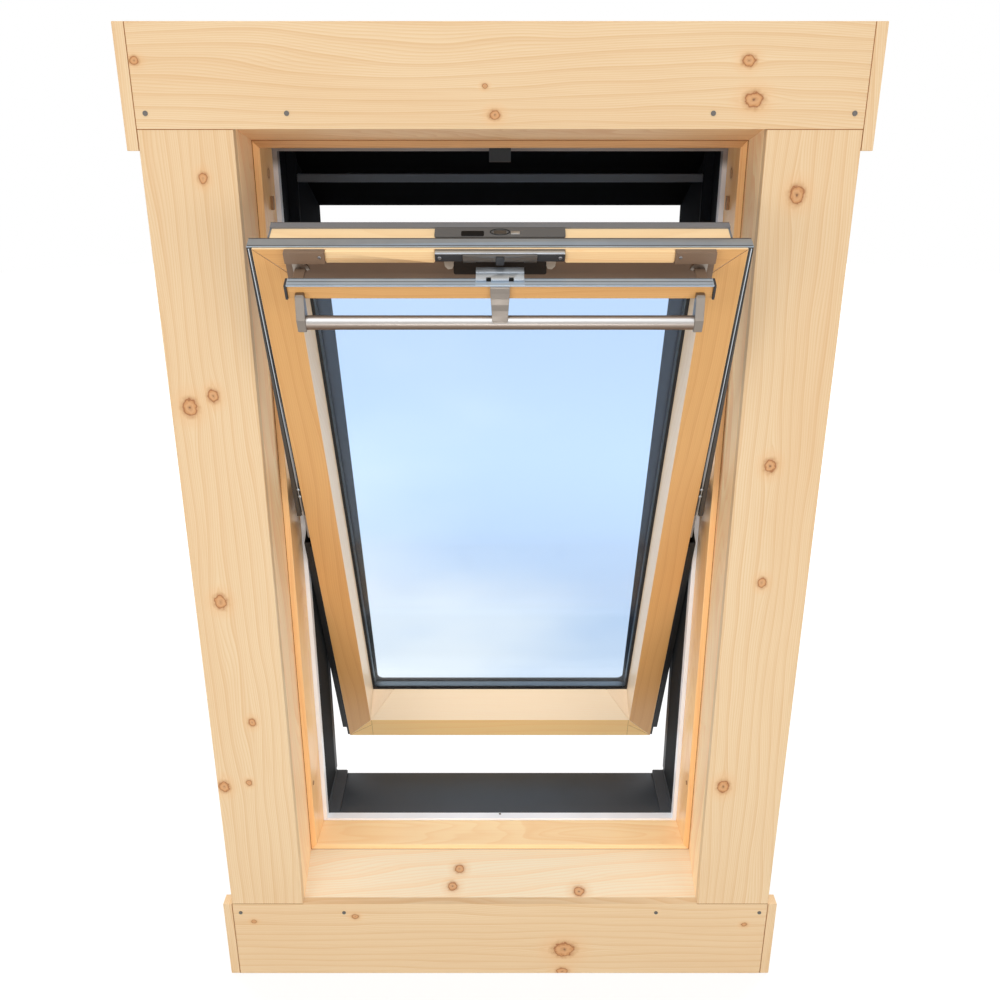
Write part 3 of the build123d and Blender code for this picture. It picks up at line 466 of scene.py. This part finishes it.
# Lining boards of raw pine: axes, seed, knots and look
BOARDS = {
    "casing_top": ((X, Z, Y), 1.3, [
        (-20, 711, 3), (-7, 675, 6), (328, 742, 7), (339, 694, 10), (-482, 742, 5)], RAW),
    "casing_left": ((Z, X, Y), 2.1, [
        (594, -407, 6), (267, -461, 11), (285, -425, 8), (-57, -448, 10), (-285, -418, 6),
        (-408, -434, 5), (-416, -478, 9)], RAW),
    "casing_right": ((Z, X, Y), 3.7, [
        (572, 409, 10), (175, 411, 9), (-23, 417, 7), (-416, 387, 10)], RAW),
    "casing_bottom": ((X, Z, Y), 4.9, [
        (-266, -705, 5), (-453, -717, 4), (450, -724, 4), (119, -784, 16), (117, -838, 9)], RAW),
    "reveal_left": ((Z, Y, X), 5.2, [], LIT_REVEAL_RAW),
    "reveal_right": ((Z, Y, X), 6.6, [], LIT_REVEAL_RAW),
    "reveal_top": ((X, Y, Z), 7.1, [], WARM_TOP),
    "sill": ((X, Y, Z), 8.4, [(-76, -76, 7), (-88, -107, 7), (146, -116, 8)], LIT_SILL_RAW),
    "caps_top": ((Z, Y, X), 9.3, [], RAW),
    "caps_bottom": ((Z, Y, X), 10.1, [], RAW),
}
for name, (axes, seed, knots, look) in BOARDS.items():
    paint(wood(name + "_pine", look, axes, seed, knots), name)

# Frame, sash and flap of lacquered pine: axes, seed, knots, look and the painted light on the
# sash's bevelled faces
FRAME_KNOTS = [(590, -2, 6)]
# Painted light for the sash's faces behind its room face: on its sides, its top and its lower end
SIDE_BEVEL_LIGHT = linear(250, 228, 198)
TOP_BEVEL_LIGHT = linear(248, 218, 172)
END_BEVEL_LIGHT = linear(255, 235, 206)
TIMBERS = {
    "frame_left": ((Z, Y, X), 1.7, FRAME_KNOTS, LIT_FRAME_SIDE, None),
    "frame_right": ((Z, Y, X), 2.9, FRAME_KNOTS, LIT_FRAME_SIDE, None),
    "frame_top": ((X, Y, Z), 3.1, [], SHADED_LACQUER, None),
    "frame_bottom": ((X, Y, Z), 4.3, [], PALE_LACQUER, None),
    "sash_left": ((UP, X, ROOM), 5.7, [], LACQUER, SIDE_BEVEL_LIGHT),
    "sash_right": ((UP, X, ROOM), 6.1, [], LACQUER, SIDE_BEVEL_LIGHT),
    "sash_top": ((X, UP, ROOM), 7.7, [], LACQUER, TOP_BEVEL_LIGHT),
    "sash_bottom": ((X, UP, ROOM), 8.9, [], LIT_SASH_END, END_BEVEL_LIGHT),
    "slats": ((X, UP, ROOM), 9.7, [], PALE_LACQUER, None),
    "flap_board": ((X, UP, ROOM), 10.3, [], LACQUER, None),
}
for name, (axes, seed, knots, look, bevel_light) in TIMBERS.items():
    paint(wood(name + "_pine", look, axes, seed, knots, bevel_light), name)

# The other finishes: first those that added pieces have too
alu_line = metal("aluminium_line", linear(104, 106, 108), 0.4, X)
alu_arm = metal("satin_aluminium_arm", linear(136, 128, 120), 0.42)
light_alu = metal("light_aluminium", linear(190, 197, 204), 0.34, X)
zinc = metal("zinc_steel", linear(150, 150, 152), 0.36, mottled=0.6)
screw_steel = metal("screw_steel", linear(110, 106, 102), 0.42)
deep_shadow = coated("painted_deep_shadow", linear(8, 8, 9), 0.6, 0.15)
black = coated("dark_plastic", linear(44, 44, 46), 0.5)
rubber = coated("seal_rubber", linear(18, 18, 19), 0.62)

paint(metal("satin_aluminium_x", linear(146, 156, 166), 0.34, X, metallic=0.6), "top_strip")
paint(metal("trim_aluminium", linear(164, 178, 192), 0.34, X, metallic=0.6), "flap_trim")
paint(metal("rail_grey", linear(84, 80, 76), 0.36, UP, metallic=0.8), "rail_left", "rail_right")
paint(metal("lock_steel", linear(116, 113, 110), 0.40), "lock_body")
paint(metal("bolt_steel", linear(96, 94, 92), 0.4), "lock_bolt")
paint(metal("spacer_metal", linear(128, 138, 146), 0.4), "glass_spacer")
paint(bar_painted_sheen(), "control_bar")
paint(alu_arm, "bar_arms")
paint(zinc, "pivot_left", "pivot_right", "hinge_left", "hinge_right", "fixing_brackets")
paint(screw_steel, "casing_screws")

# Painted shade on the edge strip and the catches over this height, towards the window's top
STRIP_SHADE_LEVEL = 0.60
paint(coated("bright_strip", linear(246, 246, 248), 0.30,
             above=(linear(146, 136, 130), STRIP_SHADE_LEVEL)), "edge_strip")
paint(coated("catch_plastic", linear(160, 118, 80), 0.5,
             above=(linear(14, 14, 15), STRIP_SHADE_LEVEL)), "frame_catches")
paint(coated("dark_cover", linear(62, 65, 69), 0.46),
      "cover_bottom", "corner_left", "corner_right", "hood_bar")
paint(coated("dark_cover_shade", linear(24, 25, 27), 0.5, 0.3), "skirt_left", "skirt_right")
paint(coated("case_grey", linear(88, 88, 88), 0.45), "lock_case")
paint(coated("taupe_plastic", linear(128, 104, 84), 0.45), "guide_covers", "vent_channel", "guides")
paint(black, "flap_ends", "buffers")
paint(rubber, "glass_seal")

paint(sash_cover_coat(), "sash_cover")
# Painted shade on the inner sides of the covers and of the hood
paint(shaded_inside("upper_cover_coat", linear(20, 21, 23)),
      "cover_upper_left", "cover_upper_right")
paint(shaded_inside("lower_cover_coat", linear(38, 40, 42)),
      "cover_lower_left", "cover_lower_right")
paint(shaded_inside("hood_coat", linear(2, 2, 2)), "hood")

# The outer pane's tint paints the sky with soft clouds; the inner pane is nearly clear
paint(glass("painted_sky_glass", linear(217, 231, 248), linear(249, 253, 255)), "glass_outer")
paint(glass("clear_glass", linear(252, 254, 255), linear(253, 254, 255)), "glass_inner")

# Soft edges, which planed timber, cast metal and bent sheet all have, in millimetres
WELD_REACH = 0.00001
SOFT = dict.fromkeys((*BOARDS, *TIMBERS), 0.9)
SOFT.update({
    "slats": 2.2, "bar_arms": 1.6, "flap_ends": 0.8, "corner_left": 2.6, "corner_right": 2.6,
    "top_strip": 0.5, "flap_trim": 0.5, "guide_covers": 0.8, "lock_body": 0.4, "hood_bar": 1.2,
    "cover_bottom": 0.8, "cover_lower_left": 0.8, "cover_lower_right": 0.8,
    "cover_upper_left": 0.8, "cover_upper_right": 0.8, "skirt_left": 0.6, "skirt_right": 0.6,
    "rail_left": 0.6, "rail_right": 0.6, "frame_catches": 0.4, "buffers": 0.8, "guides": 0.5,
})
for name, width in SOFT.items():
    weld = nodes[name].modifiers.new("weld", "WELD")
    weld.merge_threshold = WELD_REACH
    soft = nodes[name].modifiers.new("soft_edges", "BEVEL")
    soft.width = width * MM
    soft.segments = 2
    soft.limit_method = "ANGLE"


# Added pieces. A base is a start and three directions: x to the right, t up, and h towards the
# room (for TOP: t outward, h up out of the sash's top edge). All lengths are in millimetres.
def place(base, x, t, h):
    """A point in metres."""
    start, right, up, room = base
    return start + (right * x + up * t + room * h) * MM


ROW = (Vector((0, 0, 0)), X, Z, -Y)
SASH = (PIVOT, X, UP, ROOM)
TOP = (place(SASH, 0, SASH_TOP, 0), X, -ROOM, UP)
AXES = "xth"


def finish_piece(mesh, name, material, body, smooth_angle=35.0):
    data = bpy.data.meshes.new(name)
    bmesh.ops.recalc_face_normals(mesh, faces=mesh.faces)
    mesh.to_mesh(data)
    mesh.free()
    data.shade_smooth()
    data.set_sharp_from_angle(angle=math.radians(smooth_angle))
    data.materials.append(material)
    piece = bpy.data.objects.new(name, data)
    bpy.context.scene.collection.objects.link(piece)
    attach(piece, body)
    return piece


def join_rings(mesh, low, high):
    """Faces between two rings of as many points."""
    faces = []
    for i in range(len(low)):
        j = (i + 1) % len(low)
        faces.append(mesh.faces.new((low[i], low[j], high[j], high[i])))
    return faces


def add_prism(mesh, base, outline, axis, low, high, soft=0.0):
    """An outline in the plane across an axis, pushed from low to high, with rounded edges."""
    rings = []
    for level in (low, high):
        ring = []
        for a, b in outline:
            spot = [a, b]
            spot.insert(AXES.index(axis), level)
            ring.append(mesh.verts.new(place(base, *spot)))
        rings.append(ring)
    faces = [mesh.faces.new(rings[0][::-1]), mesh.faces.new(rings[1]), *join_rings(mesh, *rings)]
    if soft:
        edges = list({edge for face in faces for edge in face.edges})
        bmesh.ops.bevel(mesh, geom=edges, offset=soft * MM, segments=2, affect="EDGES", profile=0.6)


def add_line(mesh, base, start, end, width, level, proud=0.15):
    """A fine raised line on a face that looks to the room."""
    (x0, t0), (x1, t1) = start, end
    length = math.hypot(x1 - x0, t1 - t0)
    dx, dt = -(t1 - t0) / length * width / 2, (x1 - x0) / length * width / 2
    outline = [(x0 - dx, t0 - dt), (x1 - dx, t1 - dt), (x1 + dx, t1 + dt), (x0 + dx, t0 + dt)]
    add_prism(mesh, base, outline, "h", level, level + proud)


def add_ring(mesh, base, middle, radii, level, sides):
    """A ring of points round a middle, with its own radius along x and along t."""
    turns = [math.tau * i / sides for i in range(sides)]
    return [
        mesh.verts.new(place(base, middle[0] + radii[0] * math.cos(turn),
                             middle[1] + radii[1] * math.sin(turn), level))
        for turn in turns
    ]


SCREW_SIDES = 24
SCREW_DOME = [(1.0, 0.0), (1.0, 0.35), (0.93, 0.7), (0.80, 0.92), (0.70, 1.0)]
CROSS_WIDTH, CROSS_REACH, CROSS_DEPTH = 0.16, 0.52, 0.7


def add_screw(mesh, base, x, t, level, radius, rise):
    """A screw head: a low dome with a cross cut into it."""
    rings = [add_ring(mesh, base, (x, t), (radius * share, radius * share), level + rise * lift,
                      SCREW_SIDES) for share, lift in SCREW_DOME]
    mesh.faces.new(rings[0][::-1])
    for low, high in zip(rings, rings[1:]):
        join_rings(mesh, low, high)

    arm, reach, depth = radius * CROSS_WIDTH, radius * CROSS_REACH, rise * CROSS_DEPTH
    cross = [(arm, arm), (arm, reach), (-arm, reach), (-arm, arm), (-reach, arm), (-reach, -arm),
             (-arm, -arm), (-arm, -reach), (arm, -reach), (arm, -arm), (reach, -arm), (reach, arm)]
    top = [mesh.verts.new(place(base, x + a, t + b, level + rise)) for a, b in cross]
    bottom = [mesh.verts.new(place(base, x + a, t + b, level + rise - depth)) for a, b in cross]
    join_rings(mesh, top, bottom)
    mesh.faces.new(bottom)
    rims = [mesh.edges.get((ring[i], ring[(i + 1) % len(ring)]))
            for ring in (rings[-1], top) for i in range(len(ring))]
    bmesh.ops.triangle_fill(mesh, use_beauty=True, edges=rims)


def prisms(name, material, body, base, parts, soft=0.3):
    """One piece made of prisms, each (outline, axis, low, high)."""
    mesh = bmesh.new()
    for outline, axis, low, high in parts:
        add_prism(mesh, base, outline, axis, low, high, soft)
    return finish_piece(mesh, name, material, body)


def lines(name, material, body, rows):
    """One piece made of raised lines, each with what add_line takes after the mesh."""
    mesh = bmesh.new()
    for row in rows:
        add_line(mesh, *row)
    return finish_piece(mesh, name, material, body)


def screws(name, material, body, base, spots):
    """One piece made of screw heads, each with what add_screw takes after the base."""
    mesh = bmesh.new()
    for spot in spots:
        add_screw(mesh, base, *spot)
    return finish_piece(mesh, name, material, body)


def box_outline(a0, a1, b0, b1):
    return [(a0, b0), (a1, b0), (a1, b1), (a0, b1)]


def round_outline(a0, a1, b0, b1, radius, steps=5):
    """A rectangle with round corners."""
    points = []
    corners = ((a1 - radius, b0 + radius, -90), (a1 - radius, b1 - radius, 0),
               (a0 + radius, b1 - radius, 90), (a0 + radius, b0 + radius, 180))
    for ca, cb, start in corners:
        for i in range(steps):
            angle = math.radians(start + 90 * i / (steps - 1))
            points.append((ca + radius * math.cos(angle), cb + radius * math.sin(angle)))
    return points


def mirrored(outline):
    return [(-a, b) for a, b in outline][::-1]


def both_sides(outline):
    return (outline, mirrored(outline))


def on_side(side, point):
    return (side * point[0], point[1])


# The lock on the sash's room face
PLATE = round_outline(-84, -48, 513.2, 525.0, 2.0)
RIM = round_outline(-84, 84, 524.2, 526.4, 0.8)
SHADOW_UNDER_LOCK = round_outline(-61, 61, 488.0, 507.6, 3.0)
LATCH = [(-71, 515), (-73, 508), (-72, 501), (-68, 496.5), (-62.5, 497.5), (-60.5, 502),
         (-60.5, 515)]
PIN = round_outline(-5.5, 5.5, 512.0, 524.0, 2.2)
lock_shadow = coated("lock_shadow", linear(48, 40, 34), 0.7, 0.2)
bronze_grey = metal("bronze_grey", linear(178, 166, 152), 0.45)
prisms("lock_plates", black, "sash", SASH,
       [(outline, "h", LOCK_END_FACE - 0.5, LOCK_END_FACE + 0.5) for outline in both_sides(PLATE)])
prisms("lock_rim", light_alu, "sash", SASH, [(RIM, "h", 70.0, 76.2)])
# A painted shadow under the lock's housing, on the ventilation channel
prisms("lock_shadow_patch", lock_shadow, "sash", SASH,
       [(SHADOW_UNDER_LOCK, "h", CHANNEL_FACE - 0.2, CHANNEL_FACE + 0.5)])
prisms("lock_latches", bronze_grey, "sash", SASH,
       [(outline, "h", CHANNEL_FACE, CHANNEL_FACE + 1.6) for outline in both_sides(LATCH)], 0.4)
prisms("lock_pin", black, "sash", SASH, [(PIN, "h", 76.0, 82.6)], 0.6)
screws("lock_screws", zinc, "sash", SASH, [
    spot for side in SIDES for spot in (
        (side * 78.0, 518.5, LOCK_END_FACE + 0.4, 2.4, 0.9),
        (side * 233.5, 518.0, COVER_FACE, 2.2, 0.9))
])

# The lock case on the sash's top edge: a painted pocket shadow, a bare plate and a ring round the
# bolt
POCKET_SHADOW = round_outline(-51, -21, -38.4, -26, 2.0)
BARE_PLATE = round_outline(14.5, 26.0, -34.0, -26.5, 0.8)
prisms("case_pocket_shadow", deep_shadow, "sash", TOP, [(POCKET_SHADOW, "h", -0.1, 0.25)], 0.1)
prisms("case_plate", light_alu, "sash", TOP,
       [(BARE_PLATE, "h", -0.1, 0.3)], 0.1)
RING_MIDDLE = (0.0, -28.4)
RING_RADII = (13.5, 7.5)
RING_SIDES = 32
RING_PROFILE = [(1.0, 0.0), (1.0, 0.5), (0.93, 0.7), (0.86, 0.5), (0.86, 0.0)]
mesh = bmesh.new()
rings = [add_ring(mesh, TOP, RING_MIDDLE, [radius * share for radius in RING_RADII], lift,
                  RING_SIDES) for share, lift in RING_PROFILE]
for low, high in zip(rings, rings[1:] + rings[:1]):
    join_rings(mesh, low, high)
finish_piece(mesh, "case_ring", rubber, "sash")

# The lock's plate on the flap, with two open notches and a raised back edge
SADDLE_TOP = 510.7
SADDLE_HALF, SADDLE_BACK, SADDLE_STEP, SADDLE_FRONT = 31, 84.0, 96.0, 111.6
NOTCH_MIDDLE, NOTCH_HALF, NOTCH_FOOT = 14.5, 3.1, 105.6
NOTCH = [(NOTCH_MIDDLE + NOTCH_HALF, SADDLE_FRONT), (NOTCH_MIDDLE + NOTCH_HALF, NOTCH_FOOT),
         (NOTCH_MIDDLE - NOTCH_HALF, NOTCH_FOOT), (NOTCH_MIDDLE - NOTCH_HALF, SADDLE_FRONT)]
SADDLE = [(-SADDLE_HALF, SADDLE_BACK), (SADDLE_HALF, SADDLE_BACK), (SADDLE_HALF, SADDLE_FRONT),
          *NOTCH, *mirrored(NOTCH), (-SADDLE_HALF, SADDLE_FRONT)]
SADDLE_EDGE = box_outline(-SADDLE_HALF, SADDLE_HALF, SADDLE_BACK, SADDLE_STEP)
saddle = prisms("saddle_plate", light_alu, "flap", SASH,
                [(SADDLE, "t", 507.8, SADDLE_TOP - 0.6),
                 (SADDLE_EDGE, "t", SADDLE_TOP - 1.0, SADDLE_TOP - 0.05)], 0.25)
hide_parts("saddle")
# Painted shade: dark plates under the plate's two notches
prisms("saddle_notch_shadows", deep_shadow, "flap", SASH,
       [(box_outline(side * NOTCH_MIDDLE - 3.0, side * NOTCH_MIDDLE + 3.0, 105.7, 111.4),
         "t", 507.9, 508.5) for side in SIDES], 0.1)

# The centre arm: one bent plate, seen from the side, that narrows towards the bar
ARM_HALF = 12.5
ARM_FOOT = 463.6
ARM_NARROWEST, ARM_TAPER = 0.79, 30.0
ARM_TIP, TIP_SHARE = 466.5, 0.9
ARM_FRONT = [(505.7, 121.4), (503.5, 121.8), (496, 122.0), (488, 122.8), (481, 125.2),
             (475, 129.6), (470.4, 135.2), (467.0, 140.2), (464.6, 141.6), (ARM_FOOT, 139.9)]
ARM_BACK = [(ARM_FOOT, 131.0), (471.0, 118.2), (485.2, 117.7), (505.7, 117.7)]
mesh = bmesh.new()
add_prism(mesh, SASH, ARM_FRONT + ARM_BACK, "x", -ARM_HALF, ARM_HALF, 0.5)
for vert in mesh.verts:
    height = (vert.co - PIVOT).dot(UP) / MM
    widening = min(1.0, max(0.0, (height - ARM_FOOT) / ARM_TAPER))
    vert.co.x *= ARM_NARROWEST + (1 - ARM_NARROWEST) * widening
    if height < ARM_TIP:
        vert.co.x *= TIP_SHARE
centre = finish_piece(mesh, "centre_arm_plate", alu_arm, "flap", 50.0)
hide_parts("centre_arm")

# Fine ribs along the sash's top strip and the flap's trim
STRIP_RIB_LEVEL, TRIM_RIB_LEVEL = -0.6, -20.1
lines("strip_ribs", alu_line, "sash", [
    (TOP, (-328.0, depth), (328.0, depth), 1.6, STRIP_RIB_LEVEL, 0.3) for depth in (-43.2, -59.6)
])
lines("trim_ribs", alu_line, "flap", [
    (TOP, (start, depth), (end, depth), 1.2, TRIM_RIB_LEVEL, 0.3)
    for depth in (-105.0, -112.0, -119.4) for start, end in ((-271.0, -31.5), (31.5, 271.0))
])

# Links beside the ventilation channel
LINK = [(-272, 506), (-263, 507), (-252, 503), (-249, 496), (-253, 494.5), (-258, 499),
        (-263, 500), (-263, 489), (-271, 489)]
link_steel = metal("link_steel", linear(150, 140, 130), 0.36)
prisms("channel_links", link_steel, "sash", SASH,
       [(outline, "h", CHANNEL_FACE, CHANNEL_FACE + 1.5) for outline in both_sides(LINK)], 0.4)

# The rails: a painted shadow gap beside the timber, a light rib, a black edge and two bright pins
GAP_SHADOW_LINE = box_outline(-323.6, -321.8, 12, 524)
EDGE_LINE = box_outline(-328.6, -327.4, 12, 524)
RIB_LINE = box_outline(-326.6, -325.4, 14, 524)
prisms("rail_gap_shadows_and_edges", rubber, "sash", SASH,
       [(outline, "h", RAIL_FACE - 0.2, RAIL_FACE + 0.5)
        for outline in (*both_sides(GAP_SHADOW_LINE), *both_sides(EDGE_LINE))], 0.15)
prisms("rail_ribs", light_alu, "sash", SASH,
       [(outline, "h", RAIL_FACE - 0.2, RAIL_FACE + 0.7) for outline in both_sides(RIB_LINE)], 0.2)
screws("rail_pins", light_alu, "sash", SASH,
       [(side * 325.4, height, RAIL_FACE, 2.6, 1.6) for side in SIDES for height in (58.0, 74.0)])

# Joints of the sash's timbers, on the right side
seam_dark = coated("seam_shadow", linear(156, 104, 62), 0.8, 0.1)
SASH_SEAMS = [((321.2, 524.8), (272.0, 482.0)), ((270.0, -621.8), (272.0, -681.4)),
              ((271.0, -640.0), (321.2, -681.0))]
lines("sash_seams", seam_dark, "sash", [
    (SASH, on_side(side, start), on_side(side, end), 0.5, SASH_FACE)
    for side in SIDES for start, end in SASH_SEAMS
])

# Shadow gaps between the casing boards, on the right side, and between the lining and the frame
CASING_SEAMS = [((489.9, 789.0), (489.9, 629.5)), ((489.5, 656.7), (360.0, 656.7)),
                ((489.9, -675.8), (489.9, -841.5)), ((489.5, -675.3), (360.0, -675.3))]
GAP_X, GAP_END, GAP_Z = 359.4, 638.4, 638.2
GAP_LINE = (0.9, FRAME_FACE, 0.2)
board_seams = []
for side in SIDES:
    board_seams += [(ROW, on_side(side, start), on_side(side, end), 1.1, CASING_FACE)
                    for start, end in CASING_SEAMS]
    gap_x = side * GAP_X
    board_seams.append((ROW, (gap_x, -GAP_END), (gap_x, GAP_END), *GAP_LINE))
for gap_z in (-GAP_Z, GAP_Z):
    board_seams.append((ROW, (-GAP_X, gap_z), (GAP_X, gap_z), *GAP_LINE))
lines("board_seams", seam_dark, "frame", board_seams)

screws("strip_screw", screw_steel, "frame", ROW, [(0.0, -609.0, STRIP_FACE, 2.2, 0.6)])


# Stage: lamps, world, floor and camera
def area(name, place, size, power):
    """A square lamp that looks at the origin; a lamp behind the window has no reflection."""
    data = bpy.data.lights.new(name, "AREA")
    data.size = size
    data.energy = power
    lamp = bpy.data.objects.new(name, data)
    bpy.context.scene.collection.objects.link(lamp)
    lamp.location = place
    lamp.rotation_euler = (-Vector(place)).to_track_quat("-Z", "Y").to_euler()
    lamp.visible_glossy = place[1] < 0


area("key_top", (-0.4, -2.2, 3.0), 2.2, 32)
area("front_left", (-2.4, -2.7, -0.6), 1.8, 32)
area("front_right", (2.4, -2.7, -0.7), 1.8, 32)
area("front_low", (0.0, -2.4, -0.7), 1.2, 18)
area("behind_left", (-2.2, 2.2, 1.8), 1.8, 64)
area("behind_right", (2.2, 2.2, 1.8), 1.8, 64)


def white_for_lens(tree, dark, light):
    """Mixes two shaders: light where the camera, a gloss or a glass looks, dark elsewhere."""
    path = tree.nodes.new("ShaderNodeLightPath")
    seen = path.outputs["Is Camera Ray"]
    for ray in ("Is Glossy Ray", "Is Transmission Ray"):
        both = tree.nodes.new("ShaderNodeMath")
        both.operation = "MAXIMUM"
        tree.links.new(seen, both.inputs[0])
        tree.links.new(path.outputs[ray], both.inputs[1])
        seen = both.outputs[0]
    mixed = tree.nodes.new("ShaderNodeMixShader")
    for index, socket in enumerate((seen, dark, light)):
        tree.links.new(socket, mixed.inputs[index])
    return mixed.outputs[0]


WORLD_LIGHT = 0.80
world = bpy.data.worlds.new("studio")
bpy.context.scene.world = world
world.use_nodes = True
sky = world.node_tree
sky.nodes.clear()
shades = []
for strength in (WORLD_LIGHT, 1.0):
    shade = sky.nodes.new("ShaderNodeBackground")
    shade.inputs["Color"].default_value = WHITE
    shade.inputs["Strength"].default_value = strength
    shades.append(shade.outputs[0])
ends = sky.nodes.new("ShaderNodeOutputWorld")
sky.links.new(white_for_lens(sky, *shades), ends.inputs["Surface"])

# A pale round floor just under the casing, brighter for the lens towards its rim
FLOOR_LEVEL = -0.8425
FLOOR_RADIUS = 9.0
FLOOR_GREY = (0.22, 0.22, 0.22, 1.0)
GLOW_START, GLOW_END = 1.2, 3.0
GLOW_NEAR, GLOW_FAR, GLOW_HIDDEN = 0.80, 1.0, 0.15
floor_mesh = bpy.data.meshes.new("floor")
shape = bmesh.new()
bmesh.ops.create_circle(shape, cap_ends=True, segments=96, radius=FLOOR_RADIUS)
shape.to_mesh(floor_mesh)
shape.free()
floor = bpy.data.objects.new("floor", floor_mesh)
bpy.context.scene.collection.objects.link(floor)
floor.location.z = FLOOR_LEVEL
t = Tree("pale_floor", "ShaderNodeAddShader")
far = t.hypot(t.along(X), t.along(Y))
matt = t.node("ShaderNodeBsdfDiffuse", {"Color": FLOOR_GREY})
rise = t.smooth(far, GLOW_START, GLOW_END, GLOW_NEAR, GLOW_FAR)
glow = t.node("ShaderNodeEmission", {"Strength": rise})
dim = t.node("ShaderNodeEmission", {"Strength": GLOW_HIDDEN})
t.put(t.bsdf, 0, matt.outputs[0])
t.link(white_for_lens(t.tree, dim.outputs[0], glow.outputs[0]), t.bsdf.inputs[1])
floor_mesh.materials.append(t.mat)

lens = bpy.data.cameras.new("camera")
lens.sensor_width = SENSOR
lens.lens = SENSOR * FOCAL_RATIO
lens.clip_end = CAM_RANGE
camera = bpy.data.objects.new("camera", lens)
bpy.context.scene.collection.objects.link(camera)
camera.location = CAM_PLACE
sight = Vector((0.0, math.cos(CAM_TILT), -math.sin(CAM_TILT)))
camera.rotation_euler = sight.to_track_quat("-Z", "Y").to_euler()
bpy.context.scene.camera = camera

bpy.context.scene.view_settings.view_transform = "Standard"
